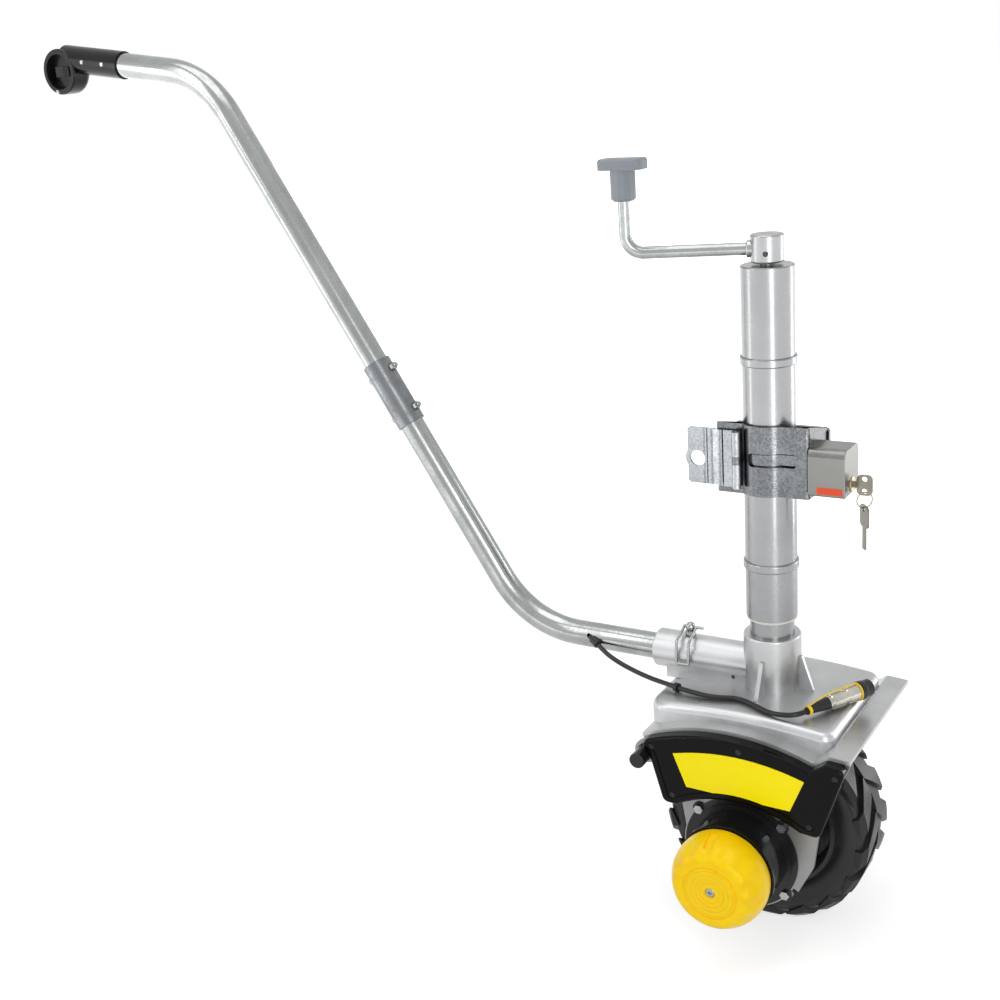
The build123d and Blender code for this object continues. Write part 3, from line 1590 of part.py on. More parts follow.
with BuildPart() as wheel_rim:
    with BuildSketch(axle_profile):
        with BuildLine():
            Polyline(
                (-rim_hub_w / 2, axle_r + seat_fit),
                (-rim_hub_w / 2, rim_hub_r),
                (-rim_disc_t / 2 - 4, rim_hub_r + 4),
                (-rim_disc_t / 2, rim_hub_r + 10),
                (-rim_disc_t / 2, rim_r - rim_barrel_t - 6),
                (-rim_w / 2, rim_r - rim_barrel_t),
                (-rim_w / 2, rim_r),
                (rim_w / 2, rim_r),
                (rim_w / 2, rim_r - rim_barrel_t),
                (rim_disc_t / 2, rim_r - rim_barrel_t - 6),
                (rim_disc_t / 2, rim_hub_r + 10),
                (rim_disc_t / 2 + 4, rim_hub_r + 4),
                (rim_hub_w / 2, rim_hub_r),
                (rim_hub_w / 2, axle_r + seat_fit),
                close=True,
            )
        make_face()
    revolve(axis=axle_axis)
    with BuildSketch(chassis_front(-rim_disc_t)):
        with Locations((0, axle_z)):
            with PolarLocations(rim_hole_circle, rim_holes):
                Circle(rim_hole_r)
    extrude(amount=2 * rim_disc_t, mode=Mode.SUBTRACT)
wheel_rim.part.label = "wheel_rim"
export_step(wheel_rim.part, "parts/wheel_rim.step")

tread_r = wheel_r - lug_h
half_tyre = tyre_w / 2
with BuildPart() as tyre:
    with BuildSketch(axle_profile):
        with BuildLine():
            Polyline((-rim_w / 2, rim_r + seat_fit), (rim_w / 2, rim_r + seat_fit))
            for edge_side in (-1, 1):
                ThreePointArc(
                    (edge_side * rim_w / 2, rim_r + seat_fit),
                    (edge_side * (half_tyre - 1), rim_r + 14),
                    (edge_side * (half_tyre - 2.5), tread_r - 8),
                )
                ThreePointArc(
                    (edge_side * (half_tyre - 2.5), tread_r - 8),
                    (edge_side * (half_tyre - 5), tread_r - 2),
                    (edge_side * (half_tyre - 11), tread_r),
                )
            Polyline((-half_tyre + 11, tread_r), (half_tyre - 11, tread_r))
        make_face()
    revolve(axis=axle_axis)
    # Chevron lugs, the two rows half a pitch apart
    lug_lean = (half_tyre - 1) * tan(radians(lug_slant))
    for row in (-1, 1):
        for lug in range(lug_count):
            lug_turn = 2 * pi * (lug + row / 4) / lug_count
            lug_up = (sin(lug_turn), 0, cos(lug_turn))
            lug_root = (
                (tread_r - 10) * lug_up[0],
                mast_y,
                axle_z + (tread_r - 10) * lug_up[2],
            )
            with BuildSketch(Plane(origin=lug_root, x_dir=(0, -1, 0), z_dir=lug_up)):
                with BuildLine():
                    Polyline(
                        (row * 1, -lug_w / 2 - 2),
                        (row * half_tyre, lug_lean - lug_w / 2),
                        (row * half_tyre, lug_lean + lug_w / 2),
                        (row * 1, lug_w / 2 - 2),
                        close=True,
                    )
                make_face()
            extrude(amount=lug_h + 12)
    with BuildSketch(axle_profile):
        with BuildLine():
            Polyline(
                (-half_tyre, 0),
                (-half_tyre, wheel_r - 6),
                (-half_tyre + 7, wheel_r),
                (half_tyre - 7, wheel_r),
                (half_tyre, wheel_r - 6),
                (half_tyre, 0),
                close=True,
            )
        make_face()
    revolve(axis=axle_axis, mode=Mode.INTERSECT)
tyre.part.label = "tyre"
export_step(tyre.part, "parts/tyre.step")

# DRIVE KNOB

with BuildPart() as clutch_rod:
    with BuildSketch(chassis_front(clutch_rod_back)):
        with Locations((0, axle_z)):
            Circle(clutch_rod_r)
    extrude(amount=clutch_rod_front - clutch_rod_back)
    chamfer(clutch_rod.edges().filter_by(GeomType.CIRCLE), length=0.8)
clutch_rod.part.label = "clutch_rod"
export_step(clutch_rod.part, "parts/clutch_rod.step")

with BuildPart() as clutch_knob:
    with BuildSketch(axle_profile):
        with BuildLine():
            Line((knob_back, 0), (knob_back, knob_rim_r))
            ThreePointArc(
                (knob_back, knob_rim_r),
                (knob_back + 14, knob_mid_r + 0.5),
                (knob_face - knob_edge, knob_face_r + 2),
            )
            ThreePointArc(
                (knob_face - knob_edge, knob_face_r + 2),
                (knob_face - 2, knob_face_r - 2),
                (knob_face, knob_face_r - knob_edge),
            )
            Polyline((knob_face, knob_face_r - knob_edge), (knob_face, 0), (knob_back, 0))
        make_face()
    revolve(axis=axle_axis)
    with BuildSketch(axle_profile):
        with BuildLine():
            Polyline(
                (knob_back, 0),
                (knob_back, knob_rim_r - knob_wall),
                (knob_back + 16, knob_mid_r - knob_wall),
                (knob_face - knob_edge, knob_face_r + 2 - knob_wall),
                (knob_face - knob_wall, knob_face_r - knob_edge - 2),
                (knob_face - knob_wall, 0),
                close=True,
            )
        make_face()
    revolve(axis=axle_axis, mode=Mode.SUBTRACT)
    with BuildSketch(chassis_front(knob_back + 2)):
        with Locations((0, axle_z)):
            Circle(knob_boss_r)
    extrude(amount=knob_face - knob_back - 2 - knob_wall)
    # Grip recesses round the side
    for grip in range(knob_grips):
        grip_turn = 360 * grip / knob_grips
        with BuildSketch(axle_profile.rotated((grip_turn, 0, 0))):
            with BuildLine():
                Polyline(
                    (knob_back + 14, knob_mid_r + 0.5 - knob_grip_deep),
                    (knob_back + 14, knob_mid_r + 3),
                    (knob_face - knob_edge - 3, knob_mid_r + 3),
                    (knob_face - knob_edge - 3, knob_face_r + 3 - knob_grip_deep),
                    close=True,
                )
            make_face()
        revolve(axis=axle_axis, revolution_arc=degrees(knob_grip_w / knob_mid_r), mode=Mode.SUBTRACT)
    # A ring and a dish in the face, then the bores for the nose, the rod and the screw
    with BuildSketch(chassis_front(knob_face)):
        with Locations((0, axle_z)):
            Circle(knob_ring_r)
            Circle(knob_ring_r - knob_ring_w, mode=Mode.SUBTRACT)
            Circle(knob_dish_r)
    extrude(amount=-1, mode=Mode.SUBTRACT)
    with BuildSketch(chassis_front(knob_back)):
        with Locations((0, axle_z)):
            Circle(motor_nose_r + run_fit)
    extrude(amount=motor_front + motor_nose_len + face_gap - knob_back, mode=Mode.SUBTRACT)
    with BuildSketch(chassis_front(knob_back)):
        with Locations((0, axle_z)):
            Circle(clutch_rod_r + face_gap)
    extrude(amount=clutch_rod_front + face_gap - knob_back, mode=Mode.SUBTRACT)
    with BuildSketch(chassis_front(knob_face)):
        with Locations((0, axle_z)):
            Circle(knob_screw_shank_r + seat_fit)
    extrude(amount=-knob_screw_len - knob_screw_h - 2, mode=Mode.SUBTRACT)
    with BuildSketch(chassis_front(knob_face)):
        with Locations((0, axle_z)):
            Circle(knob_screw_r + bolt_fit)
    extrude(amount=-knob_screw_h, mode=Mode.SUBTRACT)
clutch_knob.part.label = "clutch_knob"
export_step(clutch_knob.part, "parts/clutch_knob.step")

with BuildPart() as knob_screw:
    with BuildSketch(chassis_front(knob_face - knob_screw_h)):
        with Locations((0, axle_z)):
            Circle(knob_screw_r)
    extrude(amount=knob_screw_h - 1)
    fillet(knob_screw.edges().filter_by(GeomType.CIRCLE).sort_by(Axis.Y)[0], radius=1.2)
    with BuildSketch(chassis_front(knob_face - 1)):
        with Locations((0, axle_z)):
            Rectangle(1.4, 5.5)
            Rectangle(5.5, 1.4)
    extrude(amount=-1.5, mode=Mode.SUBTRACT)
    with BuildSketch(chassis_front(knob_face - knob_screw_h)):
        with Locations((0, axle_z)):
            Circle(knob_screw_shank_r)
    extrude(amount=-knob_screw_len)
knob_screw.part.label = "knob_screw"
export_step(knob_screw.part, "parts/knob_screw.step")

# PANEL SOCKET

with BuildPart() as panel_socket:
    with BuildSketch(chassis_front(cheek_in)):
        with Locations((panel_x, panel_z)):
            Circle(panel_r)
    extrude(amount=cheek_t + panel_len)
    with BuildSketch(chassis_front(cheek_out)):
        with Locations((panel_x, panel_z)):
            Circle(panel_flange_r)
    extrude(amount=panel_flange_t)
    with BuildSketch(chassis_front(cheek_in)):
        with Locations((panel_x, panel_z)):
            RegularPolygon(panel_flange_r, 6)
    extrude(amount=-cheek_t)
panel_socket.part.label = "panel_socket"
export_step(panel_socket.part, "parts/panel_socket.step")

with BuildPart() as panel_cap:
    with BuildSketch(chassis_front(cheek_out + panel_flange_t + face_gap)):
        with Locations((panel_x, panel_z)):
            Circle(panel_cap_r)
    extrude(amount=panel_cap_len)
    fillet(panel_cap.edges().filter_by(GeomType.CIRCLE).sort_by(Axis.Y)[0], radius=2)
    with BuildSketch(chassis_front(cheek_out + panel_flange_t + face_gap)):
        with Locations((panel_x, panel_z)):
            Circle(panel_r + run_fit)
    extrude(amount=panel_len - panel_flange_t, mode=Mode.SUBTRACT)
panel_cap.part.label = "panel_cap"
export_step(panel_cap.part, "parts/panel_cap.step")

# CABLE AND CONNECTOR

plug_way = Vector(cos(radians(plug_turn)), sin(radians(plug_turn)), 0)
plug_root = Vector(plug_start[0], mast_y + plug_start[1], rim_z + plug_start[2])
cable_root = exit_root + exit_way * grommet_len
cable_points = (
    [tuple(cable_root)]
    + cable_bends
    + [tuple(plug_root - plug_way * plug_straight), tuple(plug_root)]
)


def corner_radii(points):
    radii = []
    for back, here, ahead in zip(points, points[1:], points[2:]):
        run_in = Vector(*here) - Vector(*back)
        run_out = Vector(*ahead) - Vector(*here)
        half_turn = radians(run_in.get_angle(run_out)) / 2
        radii.append(0.45 * min(run_in.length, run_out.length) / tan(half_turn))
    return radii


cable_radii = corner_radii(cable_points)
print("cable radii", [round(radius, 1) for radius in cable_radii])
cable_runs = [(Vector(*b) - Vector(*a)).length for a, b in zip(cable_points, cable_points[1:])]
print("cable runs", [round(run, 1) for run in cable_runs])
with BuildPart() as cable:
    with BuildLine():
        cable_path = FilletPolyline(*cable_points, radius=cable_radii)
    with BuildSketch(Plane(origin=cable_path @ 0, z_dir=cable_path % 0)):
        Circle(cable_r)
    sweep(path=cable_path)
print("cable length", cable_path.length, cable.part.volume / (pi * cable_r ** 2))
cable.part.label = "cable"
export_step(cable.part, "parts/cable.step")

ring_back = Vector(*cable_points[cable_ring_at])
ring_ahead = Vector(*cable_points[cable_ring_at + 1])
with BuildPart() as cable_grommets:
    with BuildSketch(Plane(origin=tuple(exit_root), z_dir=tuple(exit_way))):
        Circle(grommet_r)
    extrude(amount=grommet_len)
    fillet(cable_grommets.faces().sort_by(Axis.Y)[0].edges(), radius=1.5)
    with BuildSketch(side(2 * cable_exit_x)):
        with Locations((mast_y, arm_axis_z)):
            Circle(handle_r)
    extrude(amount=-2 * cable_exit_x, mode=Mode.SUBTRACT)
    with BuildSketch(Plane(origin=tuple(exit_root - exit_way * grommet_in), z_dir=tuple(exit_way))):
        Circle(cable_hole_r - seat_fit)
    extrude(amount=grommet_in + grommet_len / 2)
    # The ring round the cable
    with BuildSketch(Plane(origin=(ring_back + ring_ahead) * 0.5, z_dir=ring_ahead - ring_back)):
        Circle(cable_ring_r)
        Circle(cable_r + 2 * run_fit, mode=Mode.SUBTRACT)
    extrude(amount=cable_ring_t / 2, both=True)
cable_grommets.part.label = "cable_grommets"
export_step(cable_grommets.part, "parts/cable_grommets.step")

plug_profile = Plane(
    origin=tuple(plug_root), x_dir=tuple(plug_way), z_dir=(plug_way.Y, -plug_way.X, 0)
)
plug_axis = Axis(tuple(plug_root), tuple(plug_way))
shell_end = plug_boot_len + plug_shell_len
with BuildPart() as connector_boot:
    with BuildSketch(plug_profile):
        with BuildLine():
            Polyline(
                (0, 0), (0, cable_r + 1), (plug_boot_len, plug_boot_r), (plug_boot_len, 0), close=True
            )
        make_face()
    revolve(axis=plug_axis)
connector_boot.part.label = "connector_boot"
export_step(connector_boot.part, "parts/connector_boot.step")

with BuildPart() as connector_shell:
    with BuildSketch(plug_profile):
        with BuildLine():
            Polyline(
                (plug_boot_len, 0),
                (plug_boot_len, plug_shell_r - 1.5),
                (plug_boot_len + 4, plug_shell_r - 1.5),
                (plug_boot_len + 5, plug_shell_r),
                (plug_boot_len + 21, plug_shell_r),
                (plug_boot_len + 22, plug_shell_r - 1.2),
                (plug_boot_len + 28, plug_shell_r - 1.2),
                (plug_boot_len + 29, plug_shell_r),
                (shell_end, plug_shell_r),
                (shell_end, plug_nose_r),
                (shell_end + plug_nose_len, plug_nose_r),
                (shell_end + plug_nose_len, 0),
                close=True,
            )
        make_face()
    revolve(axis=plug_axis)
connector_shell.part.label = "connector_shell"
export_step(connector_shell.part, "parts/connector_shell.step")

with BuildPart() as dust_cap:
    with BuildSketch(plug_profile):
        with BuildLine():
            Polyline(
                (shell_end + face_gap, plug_nose_r + run_fit),
                (shell_end + face_gap, plug_cap_r),
                (shell_end + 6, plug_cap_r),
                (shell_end + 8, plug_cap_r - 1.2),
                (shell_end + plug_cap_len - 2, plug_cap_r - 1.2),
                (shell_end + plug_cap_len, plug_cap_r - 3),
                (shell_end + plug_cap_len, 0),
                (shell_end + plug_nose_len + face_gap, 0),
                (shell_end + plug_nose_len + face_gap, plug_nose_r + run_fit),
                close=True,
            )
        make_face()
    revolve(axis=plug_axis)
dust_cap.part.label = "dust_cap"
export_step(dust_cap.part, "parts/dust_cap.step")

# The lanyard: a tie round the boot, a strand along the plug and a loop round the shell
strand = [
    tuple(plug_root + plug_way * along + Vector(0, 0, up))
    for along, up in (
        (tie_len, tie_r + 0.8),
        (plug_boot_len / 2, plug_boot_r + 1),
        (plug_boot_len + 6, plug_shell_r + 2.2),
        (shell_end - 8, plug_shell_r + 2),
        (shell_end - 2, plug_shell_r + 0.8),
    )
]
with BuildPart() as cap_lanyard:
    with BuildSketch(Plane(origin=tuple(plug_root + plug_way * 2), z_dir=tuple(plug_way))):
        Circle(tie_r + 1)
        Circle(tie_r + seat_fit, mode=Mode.SUBTRACT)
    extrude(amount=tie_len)
    with BuildSketch(Plane(origin=tuple(plug_root + plug_way * (shell_end - 3)), z_dir=tuple(plug_way))):
        Circle(plug_shell_r + 1.2)
        Circle(plug_shell_r + seat_fit, mode=Mode.SUBTRACT)
    extrude(amount=2)
    add(bent_wire(strand, lanyard_r))
    with BuildSketch(Plane(origin=tuple(plug_root), z_dir=tuple(plug_way))):
        Circle(tie_r + seat_fit)
    extrude(amount=plug_boot_len / 4, mode=Mode.SUBTRACT)
    with BuildSketch(Plane(origin=tuple(plug_root + plug_way * plug_boot_len), z_dir=tuple(plug_way))):
        Circle(plug_shell_r + seat_fit)
    extrude(amount=plug_shell_len, mode=Mode.SUBTRACT)
cap_lanyard.part.label = "cap_lanyard"
export_step(cap_lanyard.part, "parts/cap_lanyard.step")
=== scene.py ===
"""Motorised jockey wheel: finishes, blank labels, cable, camera and stage."""

import math

import bmesh
import bpy
from bpy.props import FloatProperty, FloatVectorProperty, PointerProperty
from mathutils import Matrix, Vector


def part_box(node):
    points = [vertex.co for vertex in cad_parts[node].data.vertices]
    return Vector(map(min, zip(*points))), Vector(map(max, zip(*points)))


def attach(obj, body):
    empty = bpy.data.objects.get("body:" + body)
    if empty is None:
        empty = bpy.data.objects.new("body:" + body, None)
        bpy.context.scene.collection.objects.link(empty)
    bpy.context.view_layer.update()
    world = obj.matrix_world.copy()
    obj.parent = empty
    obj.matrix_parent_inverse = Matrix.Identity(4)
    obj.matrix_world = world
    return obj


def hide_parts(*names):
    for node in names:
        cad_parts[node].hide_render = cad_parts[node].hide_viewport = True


bl_info = {
    "name": "Motorised jockey wheel",
    "version": (1, 0, 0),
    "blender": (4, 5, 0),
    "location": "View3D > Sidebar > Jockey wheel",
    "description": "Dresses the packed jockey wheel with finishes, patches and its cable",
    "category": "Object",
}

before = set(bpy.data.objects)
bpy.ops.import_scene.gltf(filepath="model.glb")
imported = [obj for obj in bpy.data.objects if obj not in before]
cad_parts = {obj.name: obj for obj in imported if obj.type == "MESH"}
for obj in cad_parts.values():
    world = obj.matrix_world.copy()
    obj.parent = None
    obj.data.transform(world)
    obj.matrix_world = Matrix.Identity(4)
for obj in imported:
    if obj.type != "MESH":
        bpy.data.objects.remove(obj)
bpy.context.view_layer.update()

# Height of the axle, and of the floor that the tyre stands on
AXLE_Z = -0.456
FLOOR_Z = -0.586

# Where the photograph was taken from: place, three turns in degrees, lens and sensor in mm
CAMERA_PLACE = (0.5608, -1.4939, 0.4700)
CAMERA_TURNS = (32.63, 18.06, -4.41)
CAMERA_LENS = 50.28
CAMERA_SENSOR = 36
CAMERA_REACH = 60

# The cable's route, from its outlet in the handle to the plug's boot
CABLE_ROUTE = (
    (-0.2253, -0.0611, -0.2652),
    (-0.2120, -0.0680, -0.2710),
    (-0.1920, -0.0730, -0.2780),
    (-0.1680, -0.0770, -0.2840),
    (-0.1460, -0.0815, -0.2870),
    (-0.1280, -0.0865, -0.2873),
    (-0.1100, -0.0940, -0.2853),
    (-0.0910, -0.1004, -0.2846),
    (-0.0730, -0.1040, -0.2844),
    (-0.0560, -0.1066, -0.2840),
    (-0.0400, -0.1060, -0.2832),
    (-0.0240, -0.1005, -0.2830),
    (-0.0070, -0.1045, -0.2828),
    (0.0080, -0.1120, -0.2829),
    (0.0220, -0.1185, -0.2835),
    (0.0350, -0.1213, -0.2829),
    (0.0489, -0.1213, -0.2814),
    (0.0559, -0.1187, -0.2805),
    (0.0615, -0.1137, -0.2800),
    (0.0650, -0.1070, -0.2800),
)

# Shallow grips round the drive knob, on its shoulder from the first radius to the last
KNOB_GRIPS = 14
KNOB_SHOULDER = (0.036, 0.044, 0.052, 0.056)

# Rings round the knob's screw, bumped and also painted into its colour as bands of shade, in
# radians per metre, and the radii over which they fade
KNOB_RINGS = 1150
KNOB_RINGS_FADE = (0.028, 0.034)

# Where the hasp plate is folded, along X, and how wide each fold is
HASP_FOLDS = ((-0.0665, 0.0035), (-0.0575, 0.003), (-0.046, 0.003))

# The blank label: how far the cover's rim stands proud of its face, how deep the label
# sinks into the face and stands out of it
COVER_RIM = 0.001
LABEL_SINK = 0.0002
LABEL_PROUD = 0.0004

# Middle of its foot along X, and the heights of the foot's right and left corners
LABEL_FOOT_X = 0.0025
LABEL_FOOT_Z = (-0.378, -0.376)

# Middle of its arched top along X, height at the left, drop to the right, rise and steps
LABEL_TOP_X = 0.003
LABEL_TOP_Z = -0.3355
LABEL_TOP_DROP = 0.0015
LABEL_ARCH = 0.012
LABEL_STEPS = 16

# The blank patch: its place from the lock case's left and lower edges, its foot and top
PATCH_LEFT = 0.010
PATCH_LOW = 0.003
PATCH_HIGH = 0.011
PATCH_SINK = 0.0004
PATCH_PROUD = 0.0003

# Colour of the dust that settles on mouldings
DUST = (0.22, 0.215, 0.2)

# The floor: its radius, its two greys, its glow under the wheel and where that grows
FLOOR_RADIUS = 14
FLOOR_GREYS = ((0.70, 0.70, 0.70), (0.74, 0.74, 0.74))
FLOOR_GLOW = 0.6
FLOOR_GLOW_GROWS = (0.8, 2.5)

# Strength of the world's light on the object
AMBIENT = 0.3

# Name, place, aim, brightness of the face, width and height of each soft lamp
LAMPS = (
    ("lamp_left", (-1.9, -2.1, 1.5), (-0.2, 0, -0.1), 2.8, 0.9, 2.4),
    ("lamp_front", (1.6, -2.5, 0.9), (0, 0, -0.1), 2.5, 0.9, 2.2),
    ("lamp_top", (-0.4, -0.3, 2.6), (-0.2, 0, 0), 1.7, 2.4, 2.0),
    ("strip_near", (0.86, -1.14, 0.12), (0, -0.04, 0.12), 9.0, 0.14, 1.3),
    ("strip_far", (0.84, 0.92, 0.12), (0, -0.04, 0.12), 7.0, 0.16, 1.3),
    ("strip_left", (-1.75, -0.9, 0.1), (-0.3, 0, 0.1), 4.0, 0.2, 1.3),
)


class Wire:
    """A socket of a node tree that takes part in Python sums"""

    def __init__(self, tree, socket):
        self.tree = tree
        self.socket = socket

    def make(self, kind, settings=None, inputs=None, out=0):
        """Adds a node of that kind, sets it, fills its sockets and gives one output"""
        node = self.tree.nodes.new(kind)
        for key, value in (settings or {}).items():
            setattr(node, key, value)
        for key, value in (inputs or {}).items():
            if isinstance(value, Wire):
                self.tree.links.new(value.socket, node.inputs[key])
            else:
                node.inputs[key].default_value = value
        return Wire(self.tree, node.outputs[out])

    def maths(self, operation, *values):
        """One Math node on those values or wires"""
        return self.make("ShaderNodeMath", {"operation": operation}, dict(enumerate(values)))

    def __add__(self, other):
        return self.maths("ADD", self, other)

    __radd__ = __add__

    def __sub__(self, other):
        return self.maths("SUBTRACT", self, other)

    def __rsub__(self, other):
        return self.maths("SUBTRACT", other, self)

    def __mul__(self, other):
        return self.maths("MULTIPLY", self, other)

    __rmul__ = __mul__

    def __pow__(self, other):
        return self.maths("POWER", self, other)

    def held(self, low, high):
        """The value spread from low..high onto 0..1 and held there"""
        return self.make(
            "ShaderNodeMapRange",
            {"interpolation_type": "SMOOTHSTEP"},
            {0: self, 1: low, 2: high, 3: 0.0, 4: 1.0},
        )

    def blended(self, first, second):
        """first where the value is 0 and second where it is 1, as colours"""
        return self.make("ShaderNodeMix", {"data_type": "RGBA"}, {0: self, 6: first, 7: second}, 2)

    def parts(self):
        """The place's three numbers"""
        node = self.make("ShaderNodeSeparateXYZ", None, {0: self}).socket.node
        return [Wire(self.tree, output) for output in node.outputs]

    def cloud(self, scale, detail, roughness=0.55):
        """Soft noise, from about 0.3 to 0.7"""
        return self.make(
            "ShaderNodeTexNoise",
            {"noise_dimensions": "3D"},
            {"Vector": self, "Scale": scale, "Detail": detail, "Roughness": roughness},
        )

    def raised(self, strength, distance, under=None):
        """A normal that the value bumps, on top of another normal where one is given"""
        inputs = {"Height": self, "Strength": strength, "Distance": distance}
        if under is not None:
            inputs["Normal"] = under
        return self.make("ShaderNodeBump", None, inputs)


def blank_finish(name):
    """A material with one shader, and the place on the object that its patterns start from"""
    made = bpy.data.materials.new(name)
    made.use_nodes = True
    tree = made.node_tree
    shader = tree.nodes["Principled BSDF"]
    place = Wire(tree, tree.nodes.new("ShaderNodeTexCoord").outputs["Object"])
    return made, shader, place


def feed(shader, **values):
    """Sets or links the shader's sockets, named with _ for a space"""
    for key, value in values.items():
        socket = shader.inputs[key.replace("_", " ")]
        if isinstance(value, Wire):
            value.tree.links.new(value.socket, socket)
        else:
            socket.default_value = value


def rgba(colour, share=1.0):
    """That share of a colour, with full alpha"""
    return tuple(min(1.0, part * share) for part in colour[:3]) + (1,)


def between(mask, rough):
    """A roughness between the two given, by a mask"""
    low, high = rough
    return low + mask * (high - low)


def zinc_finish(name, colour, spangle, dark, rough, bump=0.1, coarse=0.4, folds=()):
    """Bright zinc plate: faint mottling, a fine grain, a changing shine and upright folds"""
    made, shader, place = blank_finish(name)
    patch = place.cloud(spangle, 4, 0.6)
    grain = place.cloud(spangle * 9, 3, 0.7)
    mask = (patch * (1 - coarse) + grain * coarse).held(0.36, 0.64)
    normal = (grain + patch * 0.4).raised(bump, 0.0005)
    across = place.parts()[0]
    for middle, width in folds:
        offset = across - middle
        ridge = 1 - ((offset * offset) ** 0.5).held(0.0, width)
        normal = ridge.raised(1.0, 0.004, normal)
    feed(
        shader,
        Base_Color=mask.blended(rgba(colour, dark), rgba(colour, 1.06)),
        Metallic=1.0,
        Roughness=between(1 - mask, rough),
        Normal=normal,
    )
    return made


def paint_finish(name, colour, metallic, rough, grain, bump, shade=0.86):
    """Sprayed silver with a fine orange peel"""
    made, shader, place = blank_finish(name)
    drift = place.cloud(14, 4)
    peel = place.cloud(grain, 2, 0.5)
    fleck = place.cloud(grain * 4, 1, 0.5)
    mask = (drift * 0.7 + fleck * 0.3).held(0.3, 0.7)
    feed(
        shader,
        Base_Color=mask.blended(rgba(colour, shade), rgba(colour, 1.05)),
        Metallic=metallic,
        Roughness=between(mask, rough),
        Normal=peel.raised(bump, 0.0004),
    )
    return made


def moulding_finish(name, colour, rough, grain, bump, dust=0.0, specular=0.3):
    """Moulded plastic or rubber with a fine skin and a little dust in patches"""
    made, shader, place = blank_finish(name)
    skin = place.cloud(grain, 2, 0.6)
    mask = place.cloud(23, 6, 0.65).held(0.42, 0.72)
    feed(
        shader,
        Base_Color=(mask * dust).blended(rgba(colour), rgba(DUST)),
        Roughness=between(mask, rough),
        Normal=skin.raised(bump, 0.0003),
        Specular_IOR_Level=specular,
    )
    return made


def steel_finish(name, colour, rough):
    """Turned or ground metal with a fine grain and faint stains"""
    made, shader, place = blank_finish(name)
    grain = place.cloud(900, 3, 0.7)
    stain = place.cloud(40, 4).held(0.3, 0.7)
    feed(
        shader,
        Base_Color=stain.blended(rgba(colour, 0.8), rgba(colour, 1.05)),
        Metallic=1.0,
        Roughness=between(grain, rough),
        Normal=grain.raised(0.1, 0.0002),
    )
    return made


def dress(finish, *names):
    """Gives the named nodes of the frame a finish"""
    for name in names:
        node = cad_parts[name]
        node.data.materials.clear()
        node.data.materials.append(finish)


def new_piece(name, mesh, body, finish):
    """A new piece that rides on a body"""
    piece = bpy.data.objects.new(name, mesh)
    bpy.context.scene.collection.objects.link(piece)
    piece.data.materials.append(finish)
    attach(piece, body)
    return piece


def colour_setting(name, description, colour):
    """A colour that a user can change"""
    return FloatVectorProperty(
        name=name, description=description, subtype="COLOR", size=3, min=0, max=1, default=colour
    )


def length_setting(name, description, metres):
    """A length that a user can change"""
    return FloatProperty(
        name=name, description=description, subtype="DISTANCE", unit="LENGTH", default=metres
    )


def seen_rays(tree):
    """1 for the rays by which the camera, metal and glass see the background, 0 for others"""
    path = tree.nodes.new("ShaderNodeLightPath")
    kinds = ("Is Camera Ray", "Is Glossy Ray", "Is Transmission Ray")
    camera, glossy, through = (Wire(tree, path.outputs[kind]) for kind in kinds)
    return camera.maths("MAXIMUM", camera.maths("MAXIMUM", camera, glossy), through)


class JockeyColours(bpy.types.PropertyGroup):
    """Colours of the jockey wheel's finishes"""

    tube: colour_setting("Handle tube", "Zinc of the handle tube", (0.35, 0.365, 0.362))
    plate: colour_setting("Clamp plate", "Zinc of the clamp and hasp", (0.15, 0.158, 0.165))
    mast: colour_setting("Mast", "Silver paint of the mast", (0.29, 0.295, 0.30))
    casting: colour_setting("Casting", "Silver of the saddle casting", (0.51, 0.515, 0.52))
    lock: colour_setting("Lock", "Silver of the lock case", (0.2, 0.2, 0.19))
    brass: colour_setting("Brass", "Barrel of the lock", (0.50, 0.40, 0.22))
    ring: colour_setting("Split ring", "Steel of the keys' ring", (0.26, 0.24, 0.19))
    key: colour_setting("Key", "Both keys", (0.19, 0.18, 0.145))
    patch: colour_setting("Lock patch", "Red of the blank patch", (0.75, 0.09, 0.03))
    nickel: colour_setting("Nickel", "Shell of the plug", (0.52, 0.5, 0.44))
    lanyard: colour_setting("Lanyard", "Yellow tie and strand", (0.85, 0.6, 0.02))
    grip: colour_setting("Crank grip", "Blue-grey plastic", (0.25, 0.275, 0.305))
    pod: colour_setting("Switch pod", "Black plastic of the handle's end", (0.006, 0.006, 0.0065))
    cover: colour_setting("Cover", "Gloss black plastic", (0.003, 0.003, 0.003))
    motor: colour_setting("Motor", "Black enamel of motor and gearbox", (0.009, 0.009, 0.01))
    socket: colour_setting("Panel socket", "Black of the small socket", (0.012, 0.012, 0.013))
    knob: colour_setting("Drive knob", "Yellow plastic", (1.0, 0.68, 0.001))
    # The knob's shade colour is laid in random wear patches and also as painted shade in bands
    # along the rings round its screw
    knob_shade: colour_setting("Drive knob shade", "Worn yellow plastic", (0.97, 0.5, 0.001))
    label: colour_setting("Label", "Yellow of the blank label", (1.0, 0.84, 0.001))
    rubber: colour_setting("Rubber", "Tyre and cable", (0.013, 0.013, 0.014))
    rim: colour_setting("Rim", "Black plastic of the rim", (0.02, 0.02, 0.021))
    turned: colour_setting("Screw", "Steel of the lead screw", (0.3, 0.29, 0.27))
    bronze: colour_setting("Nut", "Bronze of the lift nut", (0.72, 0.5, 0.28))
    nylon: colour_setting("Bush", "Nylon of the mast's bush", (0.75, 0.73, 0.66))
    gear: colour_setting("Gears", "Steel of gears, axle and rod", (0.5, 0.5, 0.51))
    # The cross pin's near-black is painted shade, standing in for the shaded hole in the crank's
    # hub
    cross_pin: colour_setting("Cross pin", "Blued pin of the crank's hub", (0.06, 0.06, 0.06))
    screws: colour_setting("Cover screws", "Blackened screws", (0.035, 0.035, 0.037))


